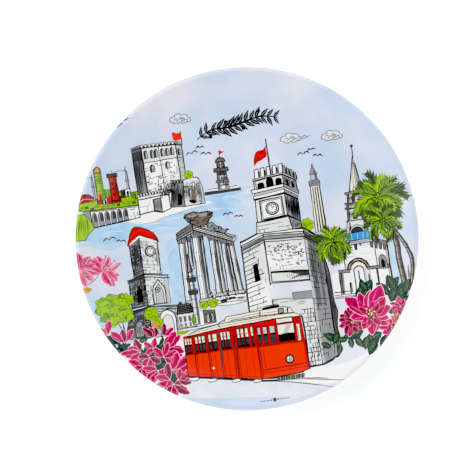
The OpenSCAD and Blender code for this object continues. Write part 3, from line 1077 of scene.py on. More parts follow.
def upper_tower(p):
    """The clock tower's square upper shaft, its arcade and battlements."""
    plinth = wall((6.2, 2), (27.6, 1.8), (26.2, 9.6), (7, 8.4))
    p.panel(plinth, "stone", width=0.5)
    p.courses(plinth, 2, 5, width=0.28, keep=0.6)
    p.shape("grey", [(27.6, 1.8), (33.4, 2.2), (33, 5.6), (26.4, 9.6)], 0.5)
    p.hatch(wall((27.6, 2.2), (33.2, 2.4), (33, 5), (27, 9)), 9, lean=0.2, width=0.5)
    shaft = wall((7.6, 8.6), (25.8, 10.2), (25.6, 24), (8, 22.2))
    side = wall((25.8, 10), (33.2, 5.6), (33, 20), (25.6, 24))
    p.panel(shaft, "stone", width=0.5)
    p.panel(side, "grey", width=0.5)
    p.panel(side, "shade", 0.4, 1, 0, 1, width=0)
    p.hatch(side, 26, 0, 1, 0, 1, 0.1, 0.44)
    p.line([(7, 8.6), (26, 10.4), (33.2, 5.8)], 0.6)
    p.shape("paper", [(10.2, 9.6), (23.8, 10.6), (23.8, 21.8), (10.6, 20.8)], 0.7)
    p.line([(11.2, 10.4), (23, 11.4), (23, 20.8), (11.4, 20)], 0.3, closed=True)
    clock_face(p, 17.3, 15.7, 3.7)
    band = wall((7.2, 22.2), (25.8, 24), (25.8, 26), (7.2, 24.2))
    p.panel(band, "paper", width=0.45)
    p.shape("grey", [(25.8, 24), (33.2, 19), (33.4, 21), (25.8, 26)], 0.45)
    p.line([(7.4, 22), (25.8, 23.7), (33.2, 18.8)], 1.0)
    ledge = wall((6.8, 25.6), (26, 27.4), (26, 29.4), (6.4, 28))
    p.panel(wall((8, 24), (25.8, 26), (25.8, 27.4), (8, 25.8)), "silver", width=0.3)
    p.panel(ledge, "paper", width=0.5)
    p.shape("grey", [(26, 27.4), (34, 21.8), (34, 24), (26, 29.4)], 0.5)
    p.hatch(ledge, 14, 0, 1, 0, 0.35, width=0.34)
    arcade = wall((8.6, 28), (26, 29.4), (26, 34.6), (8.4, 33))
    flank = wall((26, 29.4), (33.6, 24.2), (33.4, 30), (26, 34.6))
    p.panel(arcade, "stone", width=0.46)
    p.panel(flank, "grey", width=0.5)
    p.hatch(flank, 9, lean=0.05, width=0.5)
    p.arch(flank, "black", 0.2, 0.42, 0.05, 0.7, 0)
    p.arch(flank, "black", 0.58, 0.8, 0.05, 0.7, 0)
    for a, b, top in ((0.12, 0.34, 0.66), (0.42, 0.66, 0.98), (0.74, 0.94, 0.72)):
        p.arch(arcade, "black", a, b, -0.05, top, 0.34)
    p.panel(arcade, "silver", 0, 0.07, 0, 1, width=0.3)
    p.line([(8, 33), (26.2, 34.8), (33.8, 29.8)], 0.8)
    p.line([(8, 34), (26.2, 36), (33.8, 30.8)], 0.4)
    p.fill("silver", [(9.6, 34.2), (26.4, 36), (26.4, 39.6), (9.8, 38.6)])
    for i in range(5):
        tooth = wall(
            (9.6 + i * 3.6, 34.2 + i * 0.35), (11.9 + i * 3.6, 34.4 + i * 0.35),
            (12.1 + i * 3.6, 39.9 + i * 0.35), (9.9 + i * 3.6, 39.6 + i * 0.35),
        )
        p.panel(tooth, "paper", width=0.45)
        if i < 4:
            p.panel(tooth, "black", 1.05, 1.4, 0.1, 0.68, width=0)
    for i in range(4):
        tooth = wall(
            (27 + i * 1.9, 35.6 - i * 1.4), (28.2 + i * 1.9, 34.8 - i * 1.4),
            (28.2 + i * 1.9, 39.4 - i * 1.5), (27 + i * 1.9, 40.2 - i * 1.5),
        )
        p.panel(tooth, "grey", width=0.42)
        p.panel(tooth, "soot", 1.0, 1.5, 0, 0.7, width=0)
    p.line([(19.2, 35), (19.1, 57)], 0.7)
    p.line([(19.7, 36), (19.5, 55)], 0.3, "grey")
    flag = smooth([
        (18.4, 52.6), (16.6, 50.6), (13.4, 50.2), (11.4, 48.2), (10.2, 42), (12, 43.8), (15.2, 45),
        (18.4, 46.6),
    ], 3)
    p.shape("red", flag, 0.3, "brick")
    p.line(smooth([(17.4, 50.4), (14.6, 48.6), (12.4, 45)]), 0.6, "brick", taper=True)
    p.line(smooth([(16.4, 47.4), (14.4, 47.2), (13, 48.6)]), 0.5, "orange", taper=True)


def minaret(p):
    """The fluted minaret on the right of the clock tower."""
    shaft = wall((40.8, -2), (47.4, -2), (46.8, 26), (41.4, 26))
    p.panel(shaft, "stone", width=0.46)
    for i in range(4):
        a = 0.04 + i / 4
        p.panel(shaft, "cream", a, a + 0.12, 0, 1, width=0)
        if i > 1:
            p.panel(shaft, "shade", a + 0.13, a + 0.22, 0, 0.97, width=0)
        p.line([shaft(a + 0.2, 0), shaft(a + 0.2, 0.95)], 0.7, "black" if i else "soot")
    p.shape("grey", [(41, 25.4), (47.2, 25.4), (47.4, 28), (46.4, 28.8), (41.8, 28.8), (40.8, 28)], 0.36)
    p.hatch(wall((41, 25.6), (47.2, 25.6), (47.2, 28.6), (41, 28.6)), 10, width=0.3)
    p.shape("silver", [(42.2, 28.8), (46, 28.8), (45.8, 32.4), (42.4, 32.4)], 0.32)
    p.fill("shade", [(44.8, 28.8), (46, 28.8), (45.8, 32.4), (44.6, 32.4)])
    p.shape("grey", [(41.8, 32.2), (46.2, 32.2), (44.2, 38.6)], 0.32)
    p.fill("shade", [(44.4, 32.2), (46.2, 32.2), (44.2, 38.2)])


def frond(p, length, sag, ink, lit, dark):
    """One palm frond from the crown's middle: a bent rib between two rows of pointed leaflets."""
    rib = smooth([(0, 0), (length * 0.4, sag * 0.12), (length * 0.75, -sag * 0.22), (length, -sag)], 3)
    rows = {}
    for side in (-1, 1):
        row = rows[side] = []
        for i in range(1, len(rib) - 1):
            (x0, y0), (x, y) = rib[i - 1], rib[i]
            t = i / len(rib)
            ahead = math.atan2(y - y0, x - x0) + side * math.radians(58 - 30 * t)
            reach = length * (0.1 + 0.2 * math.sin(math.pi * t)) * p.hand.uniform(0.8, 1.2)
            row.append((x + reach * math.cos(ahead), y + reach * math.sin(ahead)))
            row.append((x + reach * 0.42 * math.cos(ahead), y + reach * 0.42 * math.sin(ahead)))
    p.fill(ink, [rib[0]] + rows[-1] + [rib[-1]] + rows[1][::-1])
    bright = 1 if sag >= 0 else -1
    if lit:
        p.fill(lit, ([rib[0]] + rows[bright] + rib[:1:-1])[::-1])
    for i in range(2, len(rib) - 2, 2):
        for side in (-1, 1):
            p.line([rib[i], mix(rib[i], rows[side][2 * i - 2], 0.8)], 0.32, dark, taper=True, wobble=0.02)
    p.line(rib[::3] + rib[-1:], 0.56, dark, taper=True, wobble=0.02)


def palm_crown(p, x, y, size, turn=0, fronds=15):
    """A crown of fronds, dark ones behind and lit ones in front."""
    p.fill("olive", rough(p, x, y, size * 0.4, size * 0.36, 7))
    layers = (
        ("olive", "", "black", 1.04, 0.7), ("olive", "leaf", "black", 0.98, 0.6),
        ("leaf", "lime", "olive", 0.86, 0.56), ("leaf", "lime", "black", 0.6, 0.4),
    )
    for layer, (ink, lit, dark, reach, share) in enumerate(layers):
        count = round(fronds * share)
        for i in range(count):
            angle = 360 * (i + 0.37 * layer) / count + turn + p.hand.uniform(-10, 10)
            droop = 0.42 if math.sin(math.radians(angle)) < 0.3 else 0.2
            long = size * reach * p.hand.uniform(0.8, 1.1)
            with p.at(x, y, 1, angle):
                bend = math.copysign(droop * long, math.cos(math.radians(angle)))
                frond(p, long, bend, ink, lit if i % 3 else "", dark)
    p.scribble(arc(x, y, size * 0.2, size * 0.2, 0, 340, 12), 6, size * 0.08, 0.5, "black")


def church(p):
    """The white church with its spire, belfry and blue balcony."""
    p.fill("paper", [(47, -42), (47, -28), (52, -26.6), (54, -12), (80.8, -15), (80.6, -42)])
    p.line([(54.4, -12.4), (55.4, -26)], 0.6)
    p.line([(81, -14), (80.8, -42)], 0.8)
    p.line([(80, -16), (79.9, -41)], 0.4, "brown")
    p.line([(74, -15), (73.8, -26.4)], 0.44)
    p.line([(73.8, -28), (73.6, -41.6)], 0.44, "brown")
    for x in (51.2, 52.4, 56.8, 59.2):
        p.line([(x, -27.6), (x - 0.3, -40.6)], 0.7)
        p.line([(x + 0.8, -28), (x + 0.5, -40)], 0.6, "brown")
    for x in (66.4, 68.2, 73.2):
        p.line([(x, -28), (x, -40)], 0.7)
    for y in (-14.6, -18.4, -22.6):
        p.line([(56, y - 1), (61, y - 0.6)], 0.34, "brown", taper=True)
        p.line([(66, y), (71, y + 0.2)], 0.3, "silver", taper=True)
    p.line([(69, -28), (68.8, -40)], 0.3, "brown")
    p.dot(62.8, -27, 6.4, "stone", 26)
    p.dot(62.8, -27, 5.0, "cream", 24)
    p.fill("paper", [(58.4, -41), (67.4, -41), (67.4, -27), (58.4, -27)])
    p.fill("paper", [(56, -27.4), (58.4, -27.4), (58.4, -34), (56, -34)])
    for radius, width, ink in ((6.4, 0.9, "black"), (5.6, 0.5, "brown"), (4.8, 0.8, "black")):
        p.line(arc(62.8, -27, radius, radius, 178, 2, 14), width, ink, wobble=0.08)
    p.line(arc(62.8, -27.6, 2.9, 2.6, 180, 0, 9), 0.6)
    for x in (59.9, 62.6, 65.7):
        p.line([(x, -27.6), (x, -40.4)], 0.6)
    p.fill("silver", [(65.7, -40), (67, -40), (67, -27), (65.7, -27)])
    for x0, x1 in ((51, 57.4), (68, 80.6)):
        p.shape("grey", [(x0, -27.8), (x1, -27.8 - 0.3), (x1, -26.4), (x0, -26.2)], 0.5)
        p.line([(x0, -27.1), (x1, -27.2)], 0.3, "brown")
    window = wall((74.8, -28.4), (79.8, -28.6), (79.4, -20), (75, -20))
    p.arch(window, "grey", 0.05, 0.95, 0.02, 0.98, 0.4)
    p.arch(window, "black", 0.3, 0.72, 0.1, 0.72, 0.3, pointed=True)
    p.fill("brown", [(76.4, -39), (77.6, -33), (79, -32.4), (78, -39.4)])
    for y, x1 in ((-39, 57), (-40.8, 66), (-42.6, 66)):
        p.line([(46.8, y + 0.3), (x1, y - 0.2)], 0.46, "brown" if y < -39 else "black")
    p.line([(46.8, -41.6), (66, -42)], 0.34)
    for x, wide, low, ink in (
        (56.6, 2.2, -15, "shade"), (62.2, 1.5, -15.6, "soot"), (65.4, 1, -13.4, "shade"),
    ):
        p.fill(ink, [(x, low), (x + wide, low), (x + wide + 0.3, -12), (x - 0.3, -12)])
    for i in range(4):
        x, drop = 71.6 + i * 2.4, i * 0.8
        p.shape("brown", [
            (x, -14.8 - drop), (x + 1.2, -15.4 - drop), (x + 1.9, -12.2 - drop), (x, -11.2 - drop),
        ], 0.4)
    cornice = wall((57, -12.4), (73.6, -11.6), (72.4, -9.6), (58.6, -10))
    p.panel(cornice, "silver", width=0.46)
    p.line([cornice(0, 0.5), cornice(1, 0.5)], 0.34, "brown")
    p.shape("grey", [(73.6, -11.6), (81.6, -15.6), (80.4, -12.4), (72.4, -9.6)], 0.46)
    p.hatch(wall((73.6, -12), (81, -15.4), (80.2, -12.8), (73, -10)), 9, width=0.4)
    drum = wall((59.6, -5.4), (71.6, -5), (69.4, 2), (60.2, 2))
    p.panel(drum, "stone", width=0.4)
    p.shape("soot", arc(65.2, -5.2, 3.4, 3.2, 180, 0, 10), 0.5)
    p.line(arc(65.2, -5.2, 4.6, 4.4, 178, 2, 10), 0.36)
    p.hatch(drum, 5, 0, 0.18, 0, 1, width=0.44)
    p.shape("silver", [(58.4, -5.6), (60.6, -5.4), (61.2, 2.4), (59.8, 1)], 0.4)
    p.line([(59.4, 2), (70, 2)], 0.6)
    for low, high, x0, x1 in ((2, 9.4, 60.6, 69), (9.4, 12.2, 60.8, 69), (12.2, 18.4, 61.6, 69)):
        stage = wall((x0, low), (x1, low), (x1, high), (x0 + 0.5, high))
        p.panel(stage, "cream" if high > 12.2 else "stone", width=0.6)
        p.panel(stage, "shade", 0, 0.14, 0, 1, width=0.3)
        p.hatch(stage, 3, 0.14, 0.4, 0, 1, width=0.4)
        p.hatch(stage, 3, 0.6, 1, 0, 1, width=0.4, ink="brown")
        p.line([stage(0, 0.5), stage(0.8, 0.54)], 0.4)
        if high - low > 4:
            p.arch(stage, "soot", 0.38, 0.62, 0.1, 0.8, 0.3)
        p.panel(wall(
            (x0 - 0.7, high - 0.7), (x1, high - 0.7), (x1, high + 0.5), (x0 - 0.7, high + 0.5),
        ), "grey", width=0.42)
    p.shape("cream", [(63.8, 19), (71.4, 19), (68.2, 39.6)], 0.6)
    p.fill("grey", [(68.6, 19), (71.2, 19), (68.3, 38)])
    p.line([(68, 19), (68.2, 37)], 0.3)
    p.line([(66, 19), (68, 36)], 0.3, "brown")
    p.line([(68.2, 38), (68.3, 45.4)], 0.5)
    p.dot(68.3, 45.4, 0.9, "soot")
    balcony = [(53.6, -7), (57.6, -5.6), (71.8, -4.8), (72.2, -9.4), (60.4, -10), (58, -8.6)]
    p.fill("blue", balcony)
    for x in (58.6, 61.4, 64.8, 68, 70.6):
        p.line([(x, -9.4), (x + 0.2, -5.6)], 0.34, "sea")
    p.line([(54, -7), (57.6, -5.6), (71.8, -4.8)], 0.34)
    p.line([(58, -8.8), (60.4, -10), (72.2, -9.5)], 0.36)


def palms(p):
    """The two tall palms on the right and the low one beside the tower."""
    for route, wide in (
        (((84, -4), (86.4, -14), (86.6, -26), (87.6, -40)), 3.0),
        (((86, -6), (91, -16), (93.4, -26), (91, -40)), 1.9),
    ):
        spine = smooth(list(route), 6)
        left = [(x - wide / 2, y) for x, y in spine]
        right = [(x + wide / 2, y) for x, y in spine]
        p.shape("brown", left + right[::-1], 0.44)
        p.fill("soot", [mix(a, b, 0.66) for a, b in zip(left, right)] + right[::-1])
        p.line([mix(a, b, 0.3) for a, b in zip(left, right)], 0.34, "silver")
        for a, b in list(zip(left, right))[1::2]:
            p.line([a, (b[0], b[1] - 0.8)], 0.34)
    palm_crown(p, 79.6, 13, 14.8, 8, 18)
    palm_crown(p, 80.6, -1, 11, 20, 13)
    palm_crown(p, 50, -9.4, 11.4, 0, 15)


def petal(p, length, wide, ink, edge="paper", vein="crimson", ragged=1.0, rim=1.1):
    """One ragged pointed petal along +X, with a pale border, a shaded side and fine veins."""
    bend = p.hand.uniform(-0.16, 0.16) * length
    upper, lower = [], []
    for i in range(1, 8):
        t = i / 8
        full = math.sin(math.pi * t ** 0.9) ** 0.85
        x, y = length * t, bend * t * t
        for side, edge_points in ((1, upper), (-1, lower)):
            jag = 1 + p.hand.uniform(-0.26, 0.26) * ragged * (0.4 + t)
            lean = length * p.hand.uniform(0, 0.09) * ragged
            edge_points.append((x + lean, y + side * wide / 2 * full * jag))
    middle = [(0, 0)] + [mix(a, b, 0.5) for a, b in zip(upper, lower)] + [(length, bend)]
    outline = [(0, 0)] + lower + [(length, bend)] + upper[::-1]
    if edge:
        p.fill(edge, outline[:1] + [mix(middle[4], q, rim) for q in outline[1:]])
    p.fill(ink, outline)
    p.fill(vein, middle[:8] + [mix(a, b, 0.6) for a, b in zip(middle[1:7], lower)][::-1])
    for k in (1, 2, 4):
        p.line([middle[k], mix(middle[k + 2], upper[k + 1], 0.7)], 0.34, "plum", taper=True, wobble=0.02)
    p.line([
        mix(middle[2], upper[1], 0.5), mix(middle[6], upper[5], 0.6),
    ], 0.3, "pink", taper=True, wobble=0.02)


def star_flower(p, x, y, size, ink="magenta", petals=7, turn=0):
    """A flower of three rings of pointed petals round an ochre eye."""
    for ring, reach, wide in ((0, 1.0, 0.46), (1, 0.86, 0.4), (2, 0.52, 0.32)):
        for i in range(petals):
            with p.at(x, y, 1, turn + 360 * (i + 0.5 * ring) / petals + p.hand.uniform(-10, 10)):
                long = size * reach * p.hand.uniform(0.82, 1.12)
                petal(
                    p, long, size * wide, ink, "paper" if ring == 0 else "pink",
                    "plum" if ring == 1 else "crimson",
                )
    p.fill("plum", rough(p, x, y, size * 0.2, size * 0.2, 5))
    for _ in range(12):
        a = p.hand.uniform(0, 2 * math.pi)
        r = size * p.hand.uniform(0.02, 0.2)
        p.dot(x + r * math.cos(a), y + r * math.sin(a), size * 0.04, p.hand.choice(("ochre", "cream")), 7)


def dark_leaf(p, x, y, length, turn, wide=0.42):
    """A deep green leaf with a pale rib."""
    with p.at(x, y, 1, turn):
        top = smooth([
            (0, 0), (length * 0.3, length * wide / 2), (length * 0.7, length * wide * 0.42), (length, 0),
        ], 3)
        p.shape("teal", top + [(a, -b) for a, b in top[-2:0:-1]], 0.3)
        p.line([(length * 0.1, 0), (length * 0.9, 0)], 0.3, "leaf", taper=True)
        for k in (0.3, 0.5, 0.7):
            for side in (-1, 1):
                p.line([(length * (k - 0.08), 0), (
                    length * (k + 0.1), side * length * wide * 0.3,
                )], 0.22, "leaf", taper=True)


def right_flowers(p):
    """The large magenta flower at the right with its dark leaves."""
    for x, y, length, turn in (
        (63, -43, 11, 55), (64, -41, 8, 95), (78, -48, 11, 60), (80, -47, 9, 20), (84, -46, 9, 75),
        (76, -54, 9, 12), (79, -40, 8, 45), (60, -63, 12, 190), (50, -67, 6, 170), (44, -66, 8, 150),
        (42, -68, 7, 60), (46, -69, 6, 250), (52, -66, 6, 270), (68, -66, 9, 225), (70, -65, 10, 200),
        (66, -68, 10, 240), (76, -58, 10, 330), (86, -44, 9, 60), (55, -66, 7, 300), (82, -42, 10, 110),
        (86, -48, 8, 10), (78, -44, 10, 130), (60, -45, 9, 70), (66, -40, 7, 120), (72, -66, 12, 262),
        (74, -68, 9, 300), (62, -66, 8, 250), (80, -66, 7, 220), (40, -70, 6, 150),
    ):
        dark_leaf(p, x, y, length, turn, 0.5)
    star_flower(p, 54, -57, 8.6, "crimson", 6, 20)
    star_flower(p, 76, -63, 7.4, "magenta", 5, 60)
    star_flower(p, 82.6, -51.4, 6, "magenta", 5, 10)
    star_flower(p, 79.6, -58, 3.6, "ochre", 5, 10)
    big_bloom(p)
    for x, y, turn in ((90, -36, 80), (88, -44, 70), (82, -62, 50)):
        p.line(
            smooth([
                (x, y), (x + 2 * math.cos(math.radians(turn)), y + 3),
                (x + 5 * math.cos(math.radians(turn)), y + 8),
            ]),
            0.9, "brown", taper=True,
        )


def big_bloom(p):
    """The large open bloom: uneven long petals towards the upper right, short ones below."""
    x, y = 66, -54
    outer = (
        (-72, 10, 0.5), (-46, 11, 0.5), (-104, 12, 0.5), (-14, 10, 0.56), (-136, 10, 0.56), (18, 12, 0.6),
        (172, 12, 0.5), (148, 18, 0.42), (120, 14, 0.5), (92, 14, 0.5), (60, 18, 0.52), (36, 13, 0.5),
    )
    inner = (
        (80, 8, 0.46), (150, 8, 0.44), (-150, 7, 0.5), (-60, 8, 0.5), (-100, 7, 0.4), (20, 9, 0.48),
        (112, 7, 0.4), (46, 8, 0.44),
    )
    for petals, edge, vein in ((outer, "paper", "crimson"), (inner, "pink", "plum")):
        for turn, long, wide in petals:
            with p.at(x, y, 1, turn + p.hand.uniform(-4, 4)):
                petal(p, long, long * wide, "magenta", edge, vein, ragged=0.5, rim=1.07)
                for k in (-0.34, 0.05, 0.3, 0.5):
                    streak = [(long * 0.3, long * wide * k * 0.6), (long * 0.86, long * wide * k * 0.3)]
                    p.line(
                        streak, 0.34, p.hand.choice(("plum", "crimson", "plum", "magenta")), taper=True,
                        wobble=0.1,
                    )
    p.fill("plum", rough(p, x, y, 2.4, 2.4, 5))
    for i in range(16):
        a, r = 2.4 * i, 0.5 + 0.22 * i
        p.dot(x + r * math.cos(a), y + r * math.sin(a) + 0.6, 0.55, "ochre" if i % 2 else "cream", 7)


def left_flowers(p):
    """Clusters of ragged crimson bracts down the left edge."""
    p.fill("paper", smooth([
        (-80, -52), (-64, -50), (-46, -54), (-44, -72), (-48, -84), (-62, -84), (-78, -66),
    ], 4))
    leaves = (
        (-62, -68, 5, 300), (-60, -56, 4, 40), (-80, -55, 5, 200), (-66, -50, 5, 190), (-58, -70, 5, 100),
        (-84, -52, 5, 240), (-56, -50, 4, 60), (-70, -54, 5, 150), (-54, -64, 5, 330), (-60, -76, 5, 210),
        (-47, -66, 5, 40), (-84, -58, 5, 280),
    )
    for x, y, across, up in (
        (-68, -60, 7, 6), (-59, -60, 7, 8), (-61, -68, 8, 7), (-54, -74, 6, 8), (-86, -48, 4, 4),
        (-80, -53, 4, 3),
    ):
        p.fill("teal", rough(p, x, y, across, up, 7, 0.5))
        p.scribble(arc(x, y, across * 0.9, up * 0.9, 0, 330, 11), 7, 1.6, 0.7, "black")
    for x, y, length, turn in leaves:
        dark_leaf(p, x, y, length, turn, 0.55)
    clusters = (
        (-88, -44, 8, 130, 3, 40), (-79, -50, 8, 95, 3, 36), (-62.6, -50, 7.6, 96, 3, 34),
        (-56, -50, 6.8, 70, 2, 30), (-71, -57, 9, 165, 4, 60), (-63, -56, 7, 140, 3, 60),
        (-57, -57, 10, 12, 4, 50), (-66, -61, 8, 250, 4, 80), (-58, -62, 8, 50, 4, 80),
        (-70, -65, 8.6, 225, 4, 60), (-62, -69, 8.4, 250, 5, 80), (-54, -70, 10, 24, 4, 50),
        (-56, -75, 8, 180, 4, 80), (-54, -78, 8.6, 300, 4, 70), (-51, -76, 7, 20, 3, 50),
        (-60, -79, 8, 215, 3, 50),
    )
    for x, y, size, turn, count, spread in clusters:
        for i in range(count):
            lean = turn + spread * (i / max(count - 1, 1) - 0.5) * 2 + p.hand.uniform(-10, 10)
            with p.at(x, y, 1, lean):
                ink = p.hand.choice(("crimson", "magenta", "magenta"))
                long = size * p.hand.uniform(0.8, 1.3)
                petal(p, long, size * 0.48, ink, "paper", "plum" if ink == "crimson" else "crimson", rim=1.08)
        p.dot(x, y, 0.5, "cream", 7)


def soft_blossoms(p):
    """Two pale blossoms and a bud at the far left."""
    p.line(smooth([(-98, -14.6), (-92, -12), (-88, -8)]), 0.5, "brown", taper=True)
    blossoms = (
        (-86.5, -7.5, 10.5, (
            (98, 0.42), (128, 0.4), (162, 0.34), (60, 0.34), (20, 0.26), (-12, 0.3), (-40, 0.4),
            (-66, 0.36),
        )),
        (-99, -4.5, 9.5, ((84, 0.4), (48, 0.36), (12, 0.3), (-20, 0.36), (-52, 0.4), (-80, 0.3))),
    )
    for x, y, size, petals in blossoms:
        for turn, wide in petals:
            with p.at(x, y, 1, turn):
                long = size * p.hand.uniform(0.9, 1.15)
                ink, vein = p.hand.choice((("rose", "magenta"), ("rose", "magenta"), ("pink", "rose")))
                petal(p, long, size * wide * 1.45, ink, "pink", vein, 0.4, 1.06)
                for k in (-0.26, 0.1, 0.4):
                    p.line([
                        (long * 0.2, long * k * wide), (long * 0.9, long * k * 0.2),
                    ], 0.36, p.hand.choice(("paper", "crimson")), taper=True)
        for turn in (70, 34, 110):
            with p.at(x, y, 1, turn):
                p.line([(1, 0), (size * 0.9, 0.3)], 0.36, "crimson", taper=True)
                p.dot(size * 0.9, 0.3, 0.45, "crimson", 6)
    p.fill("ochre", smooth([
        (-99.5, -15.6), (-96, -15), (-93.6, -16.4), (-95, -18), (-98, -18.4), (-99.5, -16.6),
    ], 3)[:-1])
    p.line([(-98, -16.2), (-94.4, -16.4)], 0.3, "brown")


def tram(p):
    """The orange tram in front of the tower."""
    for pts in (
        [(-51, -72.6), (-44, -75.2)], [(-50, -75.8), (-41, -78.2)], [(4, -84), (24, -86.2), (46, -89.2)],
        [(-2, -83.6), (18, -87.6), (39, -92.4)], [(20, -85), (36, -87.2)],
    ):
        p.line(smooth(pts), 0.45, "soot", taper=True)
    p.fill("black", [(-45, -75), (-22, -79.6), (-2, -83), (4, -83.6), (22, -82.2), (24, -80), (-20, -76)])
    p.line([(-45.2, -75.4), (-22, -80.2), (-2, -83.8), (6, -84.8), (21, -84.4)], 0.9)
    for x, y in ((-41.6, -77.2), (-31.4, -79.4), (-17.6, -81.6), (-5.4, -83.4)):
        p.fill("paper", arc(x, y, 2.6, 0.8, 0, 330, 11))
        p.line(arc(x, y, 2.6, 0.9, 180, 380, 10), 0.4)
    p.fill("soot", [(5, -83.2), (22.6, -82.6), (22, -85), (8, -85.4)])
    for i in range(11):
        x = 6.4 + i * 1.5
        p.line([(x, -85), (x + 0.3, -83.2)], 0.4, "silver" if i % 2 else "leaf")
    lower = [(-45.4, -62.6), (-2.6, -63.6), (-2.6, -83), (-22, -79.4), (-45, -75)]
    p.shape("orange", lower, 0.5)
    p.shape("orange", [(-2.6, -63.6), (25.6, -63.8), (25.8, -80.4), (20, -82), (4, -82.8), (-2.6, -83)], 0.5)
    p.fill("red", [
        (-45.4, -52), (-24, -50.4), (9, -49), (25, -49.4), (25.8, -63.8), (-2.6, -63.6), (-45.4, -62.6),
    ])
    side_windows(p)
    front_window(p)
    p.fill("cream", [
        (-42, -52), (-37, -49.6), (-24, -47.6), (1, -46.8), (22, -47.2), (25.6, -49), (9, -48.8),
        (-24, -50.2),
    ])
    p.line([(-43, -52.4), (-24, -50.6), (9, -49.2), (25.8, -49.6)], 0.6)
    p.line([(-42, -51.4), (-37, -49.4), (-24, -47.6), (2, -46.8), (21, -47), (25.6, -49)], 0.42)
    p.line([(-40, -50.8), (-24, -49), (6, -48)], 0.26, "shade")
    p.shape("cream", [
        (-20.4, -46.6), (-18.4, -44), (-2, -43), (16, -42.6), (20, -44), (21.4, -46.8), (0, -46),
    ], 0.42)
    p.line([(-18, -45.6), (0, -44.6), (18, -45)], 0.26, "shade")
    p.line([(-22.6, -50), (-24, -47.6), (-20.4, -45.6)], 0.36)
    p.line([(3, -42.4), (8, -41.8), (13.4, -41.6)], 1.3)
    p.line([(4, -41), (12.4, -40.6)], 0.4)
    for x in (1.2, 17.6):
        p.line([(x, -47), (x + 0.4, -43.4)], 0.7)
    p.shape("grey", box(12.4, 15.4, -46.2, -43.6), 0.5)
    p.line([(25.8, -49.6), (26.4, -60), (26, -80.6)], 0.9)


def side_windows(p):
    """The tram's long side: dark window bands with cream panes, posts and doors."""
    rows = (
        ((-44.8, -43.6), (-43.2, -42.1), (-41.8, -40.8)), ((-38.6, -37.2), (-36.6, -35.2), (-34.6, -32.8)),
        ((-30.8, -29.3), (-28.3, -25.8)), ((-23.4, -22.1), (-21.5, -20.2), (-19.6, -18)),
        ((-13.6, -12.1), (-11.4, -9.8), (-8.8, -7)), ((-5.4, -4.2),),
    )
    slope = 0.045
    for panes in rows:
        x0, x1 = panes[0][0] - 0.3, panes[-1][1] + 0.3
        lift = (x0 + 45) * slope
        p.fill("black", [
            (x0, -62.4 - lift * 0.4), (x1, -62.6 - lift * 0.4), (x1, -57.2 - lift * 0.1),
            (x0, -57 - lift * 0.1),
        ])
        p.fill("brick", [
            (x0, -57 - lift * 0.1), (x1, -57.2 - lift * 0.1), (x1, -52.6 + lift), (x0, -53 + lift),
        ])
        for a, b in panes:
            pane = wall(
                (a, -57.2 - lift * 0.1), (b, -57.2 - lift * 0.1), (b, -53.4 + lift), (a, -53.6 + lift),
            )
            p.panel(pane, "cream", width=0.24)
            p.line([pane(0, 0.4), pane(1, 0.4)], 0.26)
            p.panel(wall((a + 0.2, -61.6), (b - 0.2, -61.6), (b - 0.2, -58), (a + 0.2, -58)), "soot", width=0)
            p.line([(b + 0.15, -62.2), (b + 0.15, -54)], 0.34, "brick")
    for x, wide, ink in (
        (-39.8, 0.9, "brick"), (-31.8, 0.8, "brick"), (-24.6, 0.9, "soot"), (-16.9, 0.8, "brick"),
        (-15.2, 0.8, "brick"), (-2.6, 1.1, "brick"),
    ):
        low = -75.4 - (x + 45) * 0.18
        p.line([(x, -52 + (x + 45) * 0.05), (x + 0.1, -63), (x, low)], wide, ink, wobble=0.04)
        p.line([(x + 1.1, -53 + (x + 45) * 0.05), (x + 1.1, low)], 0.3, "black")
    for x in (-35.6, -28, -20.6, -10.6, -6):
        p.line([(x, -64.4), (x - 0.1, -75 - (x + 45) * 0.17)], 0.26, "brick")
    p.line([(-45.2, -63), (-24, -63.4), (-2.6, -64)], 0.4, "brick")
    p.line([(-45, -73.6), (-22, -78), (-3, -81.6)], 0.5, "red")
    p.dot(-30, -72.6, 0.7, "cream", 8)


